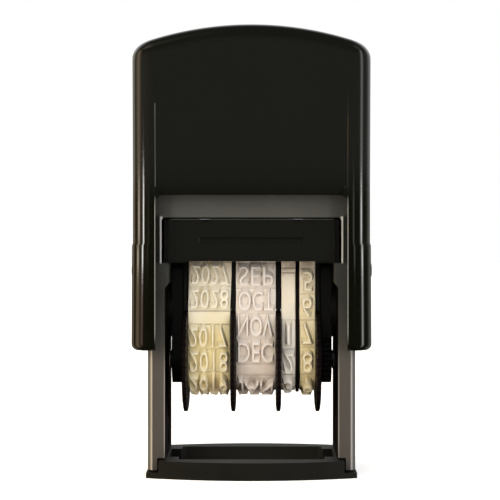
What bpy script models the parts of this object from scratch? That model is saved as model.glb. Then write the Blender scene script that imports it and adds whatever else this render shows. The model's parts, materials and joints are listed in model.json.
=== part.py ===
"""Self-inking pocket date stamp with four rubber bands, in metres, printing face up and cap raised.

X runs to the right, Y to the back and Z up from the table. The cap slides down its full travel on the
frame's legs and carries the date unit by two trunnions. Two cam pins on the unit follow a curved groove
inside each leg, so the unit turns half a turn on its way down and prints through the base.
"""

import math

import bmesh
import bpy

# Clearances shared by all pieces
GAP = 0.0003  # between a piece and the one it rests on or runs in
SIDE_GAP = 0.0002  # between a band and the wheels beside it
WELD = 0.0002  # how far two shapes of one moulding reach into each other
OVERRUN = 0.001  # how far a cut reaches past the face it opens

# Movement of the date unit
PIVOT_Z = 0.0270  # trunnions with the cap raised
TYPE_REACH = 0.0105  # from the trunnions to the printing face
AXLE_DROP = 0.0081  # from the trunnions to the wheel axle
TRUNNION_RADIUS = 0.0015
CAM_PIN_RADIUS = 0.0008

# Bands and setting wheels
BAND_THICKNESS = 0.0011
CHARACTER_RISE = 0.0003  # the raised characters' height over the band
YEAR_WIDTH = 0.0071
MONTH_WIDTH = 0.0067
DAY_TENS_WIDTH = 0.00235
DAY_UNITS_WIDTH = 0.00265
BED_DEPTH = 0.0038
BED_CORNER = 0.0003
DRUM_RADIUS = 0.0044
DRUM_LUG_DEPTH = 0.0003
DRUM_LUGS = 9
WHEEL_RADIUS = 0.0089
WHEEL_THICKNESS = 0.00055
KNURL_DEPTH = 0.00025
KNURL_COUNT = 44
AXLE_RADIUS = 0.0010
AXLE_HEAD_RADIUS = 0.0016
AXLE_HEAD_THICKNESS = 0.0003
DIVIDER_THICKNESS = 0.0003
DIVIDER_TOP = 0.0056
FIN_DEPTH = 0.0006  # how far the carrier's fins stay below the bands' outer face

# Side plates of the date unit
CHEEK_THICKNESS = 0.0017
CHEEK_TOP = 0.0083
CHEEK_TOP_DEPTH = 0.0052
CHEEK_END_RADIUS = 0.0040
CHEEK_CORNER = 0.0012
COLLAR_RADIUS = 0.0040
COLLAR_THICKNESS = 0.00045
TENON_DEPTH = 0.0020
TENON_HEIGHT = 0.0036
TENON_MIDDLE = 0.0034
TENON_LENGTH = 0.0008
RIDGE_PITCH = 0.00084
RIDGE_HEIGHT = 0.00030
RIDGE_COUNT = 9

# Frame with its two legs and the spring box on top
LEG_THICKNESS = 0.00295
FRAME_DEPTH = 0.0180
FRAME_CHAMFER = 0.0008
FOOT_TAB = 0.0016  # the leg's outer part, which reaches down past the base's block
CHANNEL_SIDE = 0.0023  # wall beside the cassette channel
CHANNEL_CORNER = 0.0006
LEDGE_REACH = 0.00045  # how far the cassette ledge stands out from the leg
LEDGE_HEIGHT = 0.0031
LEDGE_SLANT = 0.0007
DECK_THICKNESS = 0.0015
BOX_HEIGHT = 0.00665
BOX_WALL = 0.0014
CUP_WALL = 0.0013
CUP_HEIGHT = 0.0050
RIB_THICKNESS = 0.0010
RIB_HEIGHT = 0.0030
CAM_DEPTH = 0.0011
LOCK_RISE = 0.0070  # from the trunnions up to the lock buttons
LOCK_DEPTH = 0.0012
PAD_LOCK_DROP = 0.0034  # cap position in which the ink cassette is changed

# Base plate
BASE_EDGE = 0.0002  # beyond the legs at each side
BASE_REACH = 0.0009  # beyond the legs in front and behind
BASE_BOW = 0.0033  # further out in the middle
BASE_FLANGE = 0.0009
BASE_HEIGHT = 0.0029
WINDOW_CLEARANCE = 0.0007  # beside the outer wheels
WINDOW_SILL = 0.0005  # inside the frame's front and back faces
WINDOW_CORNER = 0.0008
POCKET_CLEARANCE = 0.00045  # beside the side plates
POCKET_SLACK = 0.0026  # in front of and behind the side plates' tops
POCKET_FLOOR = 0.0010

# Cap
CAP_CLEARANCE = 0.0009  # beside the frame
CAP_ROOM = 0.0015  # in front of and behind the frame
CAP_WALL = 0.0015
CAP_SPREAD = 0.0001  # how far the shoulders stand out over the waist
CAP_CORNER = 0.0035
CAP_EDGE = 0.0018  # rounding between the crown and the walls
CROWN_RADIUS = 0.0550
CROWN_ROOM = 0.0055  # between the frame and the crown with the cap pressed down
BRIDGE_SHOWN = 0.0036  # height of the frame that shows between cap and cassette
ARM_FRONT = 0.00365  # width of each arm beside the opening
CUTOUT_CORNER = 0.0012
PANEL_INSET = 0.0003  # from the panel's edge to the recess in it
PANEL_DROP = 0.0007  # the same at the top, under the rounded edge
PANEL_LIP = 0.0012  # the same at the foot, over the opening
PANEL_RECESS = 0.00015
ARM_HEAD = 0.0042  # from the lock buttons up to the step in the side
ARM_STEP = 0.0004
ARM_SWELL = 0.00015  # beyond the waist below that step
ARM_FLARE = 0.0001  # further out at the foot
ARM_FOOT = 0.0060  # from the trunnions down to the foot
ARM_EDGE = 0.0010
BOSS_RADIUS = 0.0029
BOSS_BORE_DEPTH = 0.0012
POST_CLEARANCE = 0.00085
POST_LENGTH = 0.0065

# Lock buttons
BUTTON_RADIUS = 0.00135
BUTTON_PROUD = 0.0007
BUTTON_CHAMFER = 0.00025
BUTTON_FLANGE = 0.00065  # how far the flange stands out round the button
BUTTON_FLANGE_THICKNESS = 0.0004
BUTTON_POCKET = 0.0009  # depth of the flange's pocket in the cap wall
STEM_RADIUS = 0.0010

# Cap spring
WIRE_RADIUS = 0.00035
SPRING_RADIUS = 0.0035
SPRING_CLEARANCE = 0.00035
SPRING_TURNS = 8
SPRING_END_PITCH = 0.00125
TURN_STEPS = 9

# Ink cassette
CASSETTE_CLEARANCE = 0.00035
CASSETTE_FRONT_INSET = 0.0003  # behind the frame's front face
CASSETTE_BACK_INSET = 0.0005
FRONT_PLATE = 0.0012
TRAY_RIM = 0.0016
TRAY_ROOF = 0.00145
TRAY_BACK = 0.0012
PAD_THICKNESS = 0.0030
PAD_CLEARANCE = 0.0003  # from the raised characters to the pad
PAD_CORNER = 0.0008
NOTCH_WIDTH = 0.0013
NOTCH_DEPTH = 0.0004
NOTCH_SPREAD = 0.0154
GRIP_WIDTH = 0.0172
GRIP_HEIGHT = 0.0008
GRIP_DEPTH = 0.0003

# Facets of the round shapes
CORNER_STEPS = 6
PANEL_STEPS = 14
EDGE_STEPS = 4
ROUND_STEPS = 24
BAND_END_STEPS = 18
BAND_CORNER_STEPS = 4
CAM_STEPS = 24
SMOOTH_ANGLE = math.radians(40)

# Wheels, bands and divider, side by side from the left
STACK = [
    ("year_wheel", WHEEL_THICKNESS), ("year_band", YEAR_WIDTH),
    ("month_wheel", WHEEL_THICKNESS), ("month_band", MONTH_WIDTH),
    ("day_tens_wheel", WHEEL_THICKNESS), ("day_tens_band", DAY_TENS_WIDTH),
    ("band_divider", DIVIDER_THICKNESS), ("day_units_band", DAY_UNITS_WIDTH),
    ("day_units_wheel", WHEEL_THICKNESS),
]

# Places worked out from the sizes above, from the bands out to the cap
TRAVEL = PIVOT_Z - TYPE_REACH
CAM_ARM = TRAVEL / math.pi
STACK_HALF = (sum(width for _, width in STACK) + SIDE_GAP * (len(STACK) - 1)) / 2
UNIT_INNER = STACK_HALF + GAP
UNIT_OUTER = UNIT_INNER + CHEEK_THICKNESS
LEG_INNER = UNIT_OUTER + COLLAR_THICKNESS + GAP
FRAME_SIDE = LEG_INNER + LEG_THICKNESS
FRAME_FACE = FRAME_DEPTH / 2
CHANNEL_HALF = FRAME_SIDE - CHANNEL_SIDE
CHANNEL_FLOOR_Z = PIVOT_Z + CHEEK_TOP
BAND_OFFSET = GAP + BAND_THICKNESS
BED_TOP = TYPE_REACH - CHARACTER_RISE - BAND_OFFSET
PAD_Z = PIVOT_Z + TYPE_REACH + PAD_CLEARANCE
TRAY_ROOF_Z = PAD_Z + PAD_THICKNESS + GAP
TRAY_TOP_Z = TRAY_ROOF_Z + TRAY_ROOF
CHANNEL_TOP_Z = TRAY_TOP_Z + GAP
DECK_Z = CHANNEL_TOP_Z + DECK_THICKNESS
FRAME_TOP_Z = DECK_Z + BOX_HEIGHT
LOCK_Z = PIVOT_Z + LOCK_RISE
BLOCK_HALF = FRAME_SIDE - FOOT_TAB - GAP
BASE_HALF = FRAME_SIDE + BASE_EDGE
BASE_END_Y = FRAME_FACE + BASE_REACH
CAP_INNER_SIDE = FRAME_SIDE + CAP_CLEARANCE
CAP_SIDE = CAP_INNER_SIDE + CAP_WALL
CAP_FACE = FRAME_FACE + CAP_ROOM + CAP_WALL
ARM_SIDE = CAP_SIDE + ARM_SWELL
ARM_FOOT_SIDE = ARM_SIDE + ARM_FLARE
ARM_FOOT_Z = PIVOT_Z - ARM_FOOT
CAP_INNER_TOP = FRAME_TOP_Z + TRAVEL + CROWN_ROOM
CAP_TOP_Z = CAP_INNER_TOP + CAP_WALL
SKIRT_Z = CHANNEL_TOP_Z + BRIDGE_SHOWN
CUTOUT_HALF = CAP_SIDE - ARM_FRONT
CUP_BORE_RADIUS = SPRING_RADIUS + WIRE_RADIUS + SPRING_CLEARANCE
BUTTON_STOP_X = CAP_INNER_SIDE + BUTTON_POCKET - GAP


def arc(centre, radius, start, end, steps):
    """Points on an arc, both ends included."""
    turn = (end - start) / steps
    return [
        (centre[0] + radius * math.cos(start + turn * i), centre[1] + radius * math.sin(start + turn * i))
        for i in range(steps + 1)
    ]


def circle(radius, centre=(0, 0), steps=ROUND_STEPS):
    return arc(centre, radius, 0, 2 * math.pi, steps)[:-1]


def rectangle(low_u, high_u, low_v, high_v):
    return [(low_u, low_v), (high_u, low_v), (high_u, high_v), (low_u, high_v)]


def rounded_rectangle(half_u, half_v, radius, steps=CORNER_STEPS):
    """Rectangle about the origin with round corners."""
    corners = [(1, 1), (-1, 1), (-1, -1), (1, -1)]
    points = []
    for i, (side_u, side_v) in enumerate(corners):
        centre = (side_u * (half_u - radius), side_v * (half_v - radius))
        points += arc(centre, radius, i * math.pi / 2, (i + 1) * math.pi / 2, steps)
    return points


def belt(circles):
    """Outline of a belt pulled round circles (u, v, radius, steps), listed counter-clockwise."""
    normals = []
    for i, (u, v, radius, _) in enumerate(circles):
        next_u, next_v, next_radius, _ = circles[(i + 1) % len(circles)]
        along_u, along_v = next_u - u, next_v - v
        tilt = math.acos((radius - next_radius) / math.hypot(along_u, along_v))
        normals.append(math.atan2(along_v, along_u) - tilt)
    outline = []
    for i, (u, v, radius, steps) in enumerate(circles):
        start, end = normals[i - 1], normals[i]
        while end < start:
            end += 2 * math.pi
        outline += arc((u, v), radius, start, end, steps)
    return outline


def mirrored(points):
    """The same points on the other side of X = 0, in reverse order."""
    return [(-u, v) for u, v in reversed(points)]


def on_axis(axis, along, point=(0, 0)):
    """World order for a point of an outline that lies square to an axis."""
    u, v = point
    return {"X": (along, u, v), "Y": (u, along, v), "Z": (u, v, along)}[axis]


def draw_out(shape, faces, axis, length):
    """Extrudes flat faces along an axis into a closed solid."""
    drawn = bmesh.ops.extrude_face_region(shape, geom=faces)
    moved = [part for part in drawn["geom"] if isinstance(part, bmesh.types.BMVert)]
    bmesh.ops.translate(shape, verts=moved, vec=on_axis(axis, length))
    bmesh.ops.recalc_face_normals(shape, faces=shape.faces)
    return shape


def prism(outline, axis, low, high):
    """Outline drawn along an axis from low to high."""
    shape = bmesh.new()
    face = shape.faces.new([shape.verts.new(on_axis(axis, low, point)) for point in outline])
    return draw_out(shape, [face], axis, high - low)


def hoop(outer, inner, axis, low, high):
    """Ring between two outlines of equal length, drawn along an axis."""
    shape = bmesh.new()
    rings = [[shape.verts.new(on_axis(axis, low, point)) for point in line] for line in (outer, inner)]
    count = len(outer)
    faces = []
    for i in range(count):
        after = (i + 1) % count
        faces.append(shape.faces.new([rings[0][i], rings[0][after], rings[1][after], rings[1][i]]))
    return draw_out(shape, faces, axis, high - low)


def turned(profile, steps=ROUND_STEPS):
    """Solid turned about X from a profile of (x, radius), which starts and ends on the axis."""
    shape = bmesh.new()
    points = [shape.verts.new((x, radius, 0)) for x, radius in profile]
    edges = [shape.edges.new(pair) for pair in zip(points, points[1:])]
    bmesh.ops.spin(shape, geom=points + edges, cent=(0, 0, 0), axis=(1, 0, 0), dvec=(0, 0, 0),
                   angle=2 * math.pi, steps=steps, use_merge=True)
    bmesh.ops.remove_doubles(shape, verts=shape.verts, dist=WELD / ROUND_STEPS)
    bmesh.ops.recalc_face_normals(shape, faces=shape.faces)
    return shape


def look(name, colour, roughness, metallic=0.0):
    """Principled material from a linear colour."""
    material = bpy.data.materials.new(name)
    material.use_nodes = True
    surface = material.node_tree.nodes["Principled BSDF"]
    surface.inputs["Base Color"].default_value = (*colour, 1.0)
    surface.inputs["Roughness"].default_value = roughness
    surface.inputs["Metallic"].default_value = metallic
    material.diffuse_color = (*colour, 1.0)
    return material


def joint(name, place, parent=None):
    """Empty on a joint's axis, placed in world coordinates while the stamp is at rest."""
    empty = bpy.data.objects.new(name, None)
    bpy.context.scene.collection.objects.link(empty)
    empty.parent = parent
    above = parent
    height = 0
    while above:
        height += above.location.z
        above = above.parent
    empty.location = (place[0], place[1], place[2] - height)
    return empty


def solid(name, shape, material, parent=None, place=(0, 0, 0)):
    """Object from a finished shape, whose points are measured from its parent."""
    mesh = bpy.data.meshes.new(name)
    shape.to_mesh(mesh)
    shape.free()
    mesh.materials.append(material)
    mesh.shade_smooth()
    mesh.set_sharp_from_angle(angle=SMOOTH_ANGLE)
    thing = bpy.data.objects.new(name, mesh)
    bpy.context.scene.collection.objects.link(thing)
    thing.parent = parent
    thing.location = place
    return thing


def combine(target, label, shape, operation):
    """Boolean with a hidden tool, whose points are measured from the target's origin."""
    tool = solid(f"{target.name}.{label}", shape, target.data.materials[0], target)
    tool.hide_render = True
    tool.display_type = "WIRE"
    step = target.modifiers.new(label, "BOOLEAN")
    step.operation = operation
    step.solver = "EXACT"
    step.object = tool


def cut(target, label, shape):
    combine(target, label, shape, "DIFFERENCE")


def fuse(target, label, shape):
    combine(target, label, shape, "UNION")


def frame_outline():
    """Front view of the frame: legs with stepped feet, cassette ledges, channel and spring box."""
    tab_inner = FRAME_SIDE - FOOT_TAB
    tab_z = BASE_FLANGE + GAP
    foot_z = BASE_HEIGHT + GAP
    ledge_inner = LEG_INNER - LEDGE_REACH
    ledge_low = CHANNEL_FLOOR_Z - LEDGE_HEIGHT
    corner = (CHANNEL_HALF - CHANNEL_CORNER, CHANNEL_TOP_Z - CHANNEL_CORNER)
    outer = [(tab_inner, foot_z), (tab_inner, tab_z), (FRAME_SIDE, tab_z), (FRAME_SIDE, FRAME_TOP_Z)]
    inner = [
        (LEG_INNER, foot_z),
        (LEG_INNER, ledge_low - LEDGE_SLANT),
        (ledge_inner, ledge_low),
        (ledge_inner, CHANNEL_FLOOR_Z),
        (CHANNEL_HALF, CHANNEL_FLOOR_Z),
        *arc(corner, CHANNEL_CORNER, 0, math.pi / 2, EDGE_STEPS),
    ]
    left_inner = [(-u, v) for u, v in inner]
    return outer + mirrored(outer) + left_inner + inner[::-1]


def chamfered_plan():
    """Plan of the frame with its four outer edges taken off."""
    u, v, c = FRAME_SIDE, FRAME_FACE, FRAME_CHAMFER
    right = [(u - c, -v), (u, -v + c), (u, v - c), (u - c, v)]
    return right + mirrored(right)


def cam_track(half_width):
    """Groove of a cam pin: the unit turns evenly while it drops, so the pin draws a cycloid."""
    left, right = [], []
    for i in range(CAM_STEPS + 1):
        turn = math.pi * i / CAM_STEPS
        y = CAM_ARM * math.sin(turn)
        z = PIVOT_Z - CAM_ARM * turn + CAM_ARM * math.cos(turn)
        heading = math.atan2(-CAM_ARM - CAM_ARM * math.sin(turn), CAM_ARM * math.cos(turn))
        side_y, side_z = -math.sin(heading), math.cos(heading)
        left.append((y + half_width * side_y, z + half_width * side_z))
        right.append((y - half_width * side_y, z - half_width * side_z))
    start = (0, PIVOT_Z + CAM_ARM)
    end = (0, PIVOT_Z - TRAVEL - CAM_ARM)
    first = math.atan2(right[0][1] - start[1], right[0][0])
    last = math.atan2(left[-1][1] - end[1], left[-1][0])
    round_start = arc(start, half_width, first, first - math.pi, CORNER_STEPS)[1:-1]
    round_end = arc(end, half_width, last, last - math.pi, CORNER_STEPS)[1:-1]
    return left + round_end + right[::-1] + round_start


def make_frame(plastic):
    frame = solid("frame_housing", prism(frame_outline(), "Y", -FRAME_FACE, FRAME_FACE), plastic)
    below, above = -OVERRUN, FRAME_TOP_Z + OVERRUN
    combine(frame, "edges", prism(chamfered_plan(), "Z", below, above), "INTERSECT")

    room_u, room_v = FRAME_SIDE - BOX_WALL, FRAME_FACE - BOX_WALL
    cut(frame, "spring_box", prism(rectangle(-room_u, room_u, -room_v, room_v), "Z", DECK_Z, above))
    low, rib_top = DECK_Z - WELD, DECK_Z + RIB_HEIGHT
    across, along = room_u + WELD, room_v + WELD
    rib = RIB_THICKNESS / 2
    fuse(frame, "rib_across", prism(rectangle(-across, across, -rib, rib), "Z", low, rib_top))
    fuse(frame, "rib_along", prism(rectangle(-rib, rib, -along, along), "Z", low, rib_top))
    fuse(frame, "cup", prism(circle(CUP_BORE_RADIUS + CUP_WALL), "Z", low, DECK_Z + CUP_HEIGHT))
    cut(frame, "cup_bore", prism(circle(CUP_BORE_RADIUS), "Z", DECK_Z, DECK_Z + CUP_HEIGHT + OVERRUN))

    slot = TRUNNION_RADIUS + GAP
    slot_outline = belt([(0, PIVOT_Z, slot, CORNER_STEPS), (0, PIVOT_Z - TRAVEL, slot, CORNER_STEPS)])
    outside = FRAME_SIDE + OVERRUN
    cut(frame, "trunnion_slots", prism(slot_outline, "X", -outside, outside))

    track = cam_track(CAM_PIN_RADIUS + GAP)
    shallow, deep = LEG_INNER - LEDGE_REACH - OVERRUN, LEG_INNER + CAM_DEPTH
    cut(frame, "cam_track_right", prism(track, "X", shallow, deep))
    cut(frame, "cam_track_left", prism(track, "X", -deep, -shallow))

    recess = STEM_RADIUS + GAP
    for label, height in (("lock", LOCK_Z), ("pad_lock", LOCK_Z - PAD_LOCK_DROP)):
        hole = circle(recess, (0, height))
        cut(frame, f"{label}_right", prism(hole, "X", FRAME_SIDE - LOCK_DEPTH, outside))
        cut(frame, f"{label}_left", prism(hole, "X", -outside, -FRAME_SIDE + LOCK_DEPTH))
    return frame


def bowed_plan(half_width):
    """Plan of the base, whose front and back edges bow out on one arc."""
    radius = (BASE_HALF**2 + BASE_BOW**2) / (2 * BASE_BOW)
    reach = math.asin(half_width / radius)
    middle = -math.pi / 2
    centre = (0, radius - BASE_END_Y - BASE_BOW)
    front = arc(centre, radius, middle - reach, middle + reach, PANEL_STEPS)
    return front + [(u, -v) for u, v in reversed(front)]


def make_base(plastic):
    base = solid("base_plate", prism(bowed_plan(BASE_HALF), "Z", 0, BASE_FLANGE), plastic)
    fuse(base, "block", prism(bowed_plan(BLOCK_HALF), "Z", BASE_FLANGE - WELD, BASE_HEIGHT))
    window_half = STACK_HALF + WINDOW_CLEARANCE
    window = rounded_rectangle(window_half, FRAME_FACE - WINDOW_SILL, WINDOW_CORNER, EDGE_STEPS)
    cut(base, "print_window", prism(window, "Z", -OVERRUN, BASE_HEIGHT + OVERRUN))
    half_u, half_v = UNIT_OUTER + POCKET_CLEARANCE, CHEEK_TOP_DEPTH / 2 + POCKET_SLACK
    pocket = rectangle(-half_u, half_u, -half_v, half_v)
    cut(base, "cheek_pockets", prism(pocket, "Z", POCKET_FLOOR, BASE_HEIGHT + OVERRUN))
    return base


def crown_z(x, top_z, radius):
    """Height of the crown, an arc across the cap."""
    return top_z - radius + math.sqrt(radius**2 - x**2)


def half_plan(half_width, half_depth, corner):
    """Front half of the cap's plan, from left to right."""
    left = arc((corner - half_width, corner - half_depth), corner, math.pi, math.pi * 3 / 2, CORNER_STEPS)
    flat = half_width - corner
    panel = [(flat * (2 * i / PANEL_STEPS - 1), -half_depth) for i in range(1, PANEL_STEPS)]
    return left + panel + mirrored(left)


def closed_ring(shape, front):
    """Ring of points from the front half and its reflection at the back."""
    back = [(x, -y, z) for x, y, z in reversed(front)]
    return [shape.verts.new(point) for point in front + back]


def bridge(shape, lower, upper):
    count = len(lower)
    for i in range(count):
        after = (i + 1) % count
        shape.faces.new([lower[i], lower[after], upper[after], upper[i]])


def close_crown(shape, ring):
    """Strips from front to back over the last ring."""
    half = len(ring) // 2
    for i in range(half - 1):
        shape.faces.new([ring[i], ring[i + 1], ring[-2 - i], ring[-1 - i]])


def cap_shell_shape():
    """Shell with a crown arched across, rounded edges and walls that flare towards the feet."""
    shape = bmesh.new()
    outer = []

    def level(half_width, inset, z):
        plan = half_plan(half_width - inset, CAP_FACE - inset, CAP_CORNER - inset)
        outer.append([(x, y, z) for x, y in plan])

    for i in range(EDGE_STEPS + 1):
        angle = math.pi / 2 * i / EDGE_STEPS
        inset = ARM_EDGE * (1 - math.sin(angle))
        level(ARM_FOOT_SIDE, inset, ARM_FOOT_Z + ARM_EDGE * (1 - math.cos(angle)))
    level(ARM_SIDE, 0, LOCK_Z + ARM_HEAD)
    level(CAP_SIDE, 0, LOCK_Z + ARM_HEAD + ARM_STEP)
    for i in range(EDGE_STEPS + 1):
        angle = math.pi / 2 * i / EDGE_STEPS
        inset = CAP_EDGE * (1 - math.cos(angle))
        plan = half_plan(CAP_SIDE + CAP_SPREAD - inset, CAP_FACE - inset, CAP_CORNER - inset)
        drop = CAP_EDGE * (1 - math.sin(angle))
        outer.append([(x, y, crown_z(x, CAP_TOP_Z, CROWN_RADIUS) - drop) for x, y in plan])

    inner_plan = half_plan(CAP_INNER_SIDE, CAP_FACE - CAP_WALL, CAP_CORNER - CAP_WALL)
    inner_radius = CROWN_RADIUS - CAP_WALL
    inner = [
        [(x, y, ARM_FOOT_Z) for x, y in inner_plan],
        [(x, y, crown_z(x, CAP_INNER_TOP, inner_radius)) for x, y in inner_plan],
    ]
    outer_rings = [closed_ring(shape, ring) for ring in outer]
    inner_rings = [closed_ring(shape, ring) for ring in inner]
    for rings in (outer_rings, inner_rings):
        for lower, upper in zip(rings, rings[1:]):
            bridge(shape, lower, upper)
        close_crown(shape, rings[-1])
    bridge(shape, outer_rings[0], inner_rings[0])
    bmesh.ops.recalc_face_normals(shape, faces=shape.faces)
    return shape


def cutout_outline():
    """Opening below the front and back panels, with round inner corners."""
    corner = (CUTOUT_HALF - CUTOUT_CORNER, SKIRT_Z - CUTOUT_CORNER)
    low = (CUTOUT_HALF, ARM_FOOT_Z - OVERRUN)
    right = [low, *arc(corner, CUTOUT_CORNER, 0, math.pi / 2, CORNER_STEPS)]
    return right + mirrored(right)


def panel_outline():
    """Flat field of the front and back panels, with an arched top that follows the crown."""
    half = CAP_SIDE - CAP_CORNER - PANEL_INSET
    top = [(half - 2 * half * i / PANEL_STEPS) for i in range(PANEL_STEPS + 1)]
    arch = [(x, crown_z(x, CAP_TOP_Z - CAP_EDGE - PANEL_DROP, CROWN_RADIUS)) for x in top]
    low = SKIRT_Z + PANEL_LIP
    return [(-half, low), (half, low), *arch]


def make_cap(plastic, slide):
    lift = -slide.location.z
    shape = cap_shell_shape()
    cap = solid("cap_shell", shape, plastic, slide, (0, 0, lift))
    reach = CAP_FACE + OVERRUN
    cut(cap, "leg_openings", prism(cutout_outline(), "Y", -reach, reach))
    field = panel_outline()
    cut(cap, "front_panel", prism(field, "Y", -reach, PANEL_RECESS - CAP_FACE))
    cut(cap, "back_panel", prism(field, "Y", CAP_FACE - PANEL_RECESS, reach))

    post_low = CAP_INNER_TOP - POST_LENGTH
    post = circle(SPRING_RADIUS - WIRE_RADIUS - POST_CLEARANCE)
    fuse(cap, "spring_post", prism(post, "Z", post_low, CAP_INNER_TOP + WELD))
    boss_face = FRAME_SIDE + GAP
    boss = circle(BOSS_RADIUS, (0, PIVOT_Z))
    bore = circle(TRUNNION_RADIUS + GAP, (0, PIVOT_Z))
    button_hole = circle(BUTTON_RADIUS + GAP, (0, LOCK_Z))
    flange_pocket = circle(BUTTON_RADIUS + BUTTON_FLANGE + GAP, (0, LOCK_Z))
    outside = ARM_FOOT_SIDE + OVERRUN
    for label, side in (("left", -1), ("right", 1)):
        def between(low, high):
            return sorted((side * low, side * high))

        fuse(cap, f"boss_{label}", prism(boss, "X", *between(boss_face, CAP_INNER_SIDE + WELD)))
        cut(cap, f"bore_{label}", prism(bore, "X", *between(boss_face - GAP, boss_face + BOSS_BORE_DEPTH)))
        cut(cap, f"button_{label}", prism(button_hole, "X", *between(boss_face, outside)))
        pocket_end = CAP_INNER_SIDE + BUTTON_POCKET
        cut(cap, f"flange_{label}", prism(flange_pocket, "X", *between(boss_face, pocket_end)))
    return cap


def make_button(name, side, plastic, slide):
    """Push button with a retaining flange in the cap wall and a stem that locks in the leg."""
    place = joint(f"{name}_press", (side * ARM_SIDE, 0, LOCK_Z), slide)
    tip = FRAME_SIDE + SIDE_GAP - ARM_SIDE
    flange_out = BUTTON_STOP_X - ARM_SIDE
    flange_in = flange_out - BUTTON_FLANGE_THICKNESS
    flange = BUTTON_RADIUS + BUTTON_FLANGE
    profile = [
        (tip, 0), (tip, STEM_RADIUS), (flange_in, STEM_RADIUS), (flange_in, flange),
        (flange_out, flange), (flange_out, BUTTON_RADIUS), (0, BUTTON_RADIUS),
        (BUTTON_PROUD - BUTTON_CHAMFER, BUTTON_RADIUS), (BUTTON_PROUD, BUTTON_RADIUS - BUTTON_CHAMFER),
        (BUTTON_PROUD, 0),
    ]
    return solid(name, turned([(side * x, radius) for x, radius in profile]), plastic, place)


def spring_points():
    """Helix with closer turns at both ends."""
    low = DECK_Z + GAP + WIRE_RADIUS
    high = crown_z(SPRING_RADIUS + WIRE_RADIUS, CAP_INNER_TOP, CROWN_RADIUS - CAP_WALL) - GAP - WIRE_RADIUS
    pitch = (high - low - 2 * SPRING_END_PITCH) / (SPRING_TURNS - 2)
    points = []
    for i in range(SPRING_TURNS * TURN_STEPS + 1):
        turns = i / TURN_STEPS
        middle_turns = min(max(turns - 1, 0), SPRING_TURNS - 2)
        z = low + pitch * middle_turns + SPRING_END_PITCH * (turns - middle_turns)
        angle = 2 * math.pi * turns
        points.append((SPRING_RADIUS * math.cos(angle), SPRING_RADIUS * math.sin(angle), z))
    return points


def make_spring(steel):
    points = spring_points()
    curve = bpy.data.curves.new("cap_spring", "CURVE")
    curve.dimensions = "3D"
    curve.bevel_depth = WIRE_RADIUS
    curve.bevel_resolution = 1
    curve.use_fill_caps = True
    spline = curve.splines.new("POLY")
    spline.points.add(len(points) - 1)
    for knot, point in zip(spline.points, points):
        knot.co = (*point, 1)
    curve.materials.append(steel)
    spring = bpy.data.objects.new("cap_spring", curve)
    bpy.context.scene.collection.objects.link(spring)
    spacing = min(
        math.dist(points[i], points[j])
        for i in range(len(points))
        for j in range(i + TURN_STEPS // 2, len(points))
    )
    print(f"least gap between the spring's turns: {spacing - 2 * WIRE_RADIUS:.6f} m")
    return spring


def make_cassette(plastic, foam, slide):
    half = CHANNEL_HALF - CASSETTE_CLEARANCE
    low, roof, high = CHANNEL_FLOOR_Z + GAP, TRAY_ROOF_Z, TRAY_TOP_Z
    room = half - TRAY_RIM
    front, back = CASSETTE_FRONT_INSET - FRAME_FACE, FRAME_FACE - CASSETTE_BACK_INSET
    section = [(-half, low), (-room, low), (-room, roof), (room, roof), (room, low), (half, low),
               (half, high), (-half, high)]
    tray = solid("cassette_tray", prism(section, "Y", front + FRONT_PLATE - WELD, back), plastic, slide)
    plate_half, notch = LEG_INNER - LEDGE_REACH, NOTCH_WIDTH / 2
    right = [(plate_half, low), (plate_half, high)]
    for edge in (NOTCH_SPREAD / 2 + notch, NOTCH_SPREAD / 2 - notch):
        tops = [high, high - NOTCH_DEPTH]
        if edge < NOTCH_SPREAD / 2:
            tops.reverse()
        right += [(edge, top) for top in tops]
    fuse(tray, "front_plate", prism(right + mirrored(right), "Y", front, front + FRONT_PLATE))
    wall = rectangle(-room - WELD, room + WELD, PAD_Z, roof + WELD)
    fuse(tray, "back_wall", prism(wall, "Y", back - TRAY_BACK, back))
    grip_middle = (low + high) / 2
    grip = rectangle(-GRIP_WIDTH / 2, GRIP_WIDTH / 2, grip_middle - GRIP_HEIGHT / 2, grip_middle + GRIP_HEIGHT / 2)
    cut(tray, "grip", prism(grip, "Y", front - OVERRUN, front + GRIP_DEPTH))

    pad_front, pad_back = front + FRONT_PLATE + GAP, back - TRAY_BACK - GAP
    pad_plan = rounded_rectangle(room - GAP, (pad_back - pad_front) / 2, PAD_CORNER, EDGE_STEPS)
    pad = prism(pad_plan, "Z", PAD_Z, PAD_Z + PAD_THICKNESS)
    solid("ink_pad", pad, foam, slide, (0, (pad_front + pad_back) / 2, 0))
    return tray


def unit_belt(offset):
    """Line round the wheel drums and the type bed, at a distance from both."""
    corner = BED_CORNER + offset
    side, top = BED_DEPTH / 2 - BED_CORNER, BED_TOP - BED_CORNER
    return belt([
        (0, -AXLE_DROP, DRUM_RADIUS + offset, BAND_END_STEPS),
        (side, top, corner, BAND_CORNER_STEPS),
        (-side, top, corner, BAND_CORNER_STEPS),
    ])


def stack_faces():
    """Left and right faces of each piece of the stack."""
    faces, x = {}, -STACK_HALF
    for name, width in STACK:
        faces[name] = (x, x + width)
        x += width + SIDE_GAP
    return faces


def knurled_circle(radius, depth, count):
    """Circle with even notches, four points to a notch."""
    points = []
    for i in range(count):
        for share, drop in ((0.0, 0), (0.45, 0), (0.6, depth), (0.85, depth)):
            angle = 2 * math.pi * (i + share) / count
            points.append(((radius - drop) * math.cos(angle), (radius - drop) * math.sin(angle)))
    return points


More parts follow.
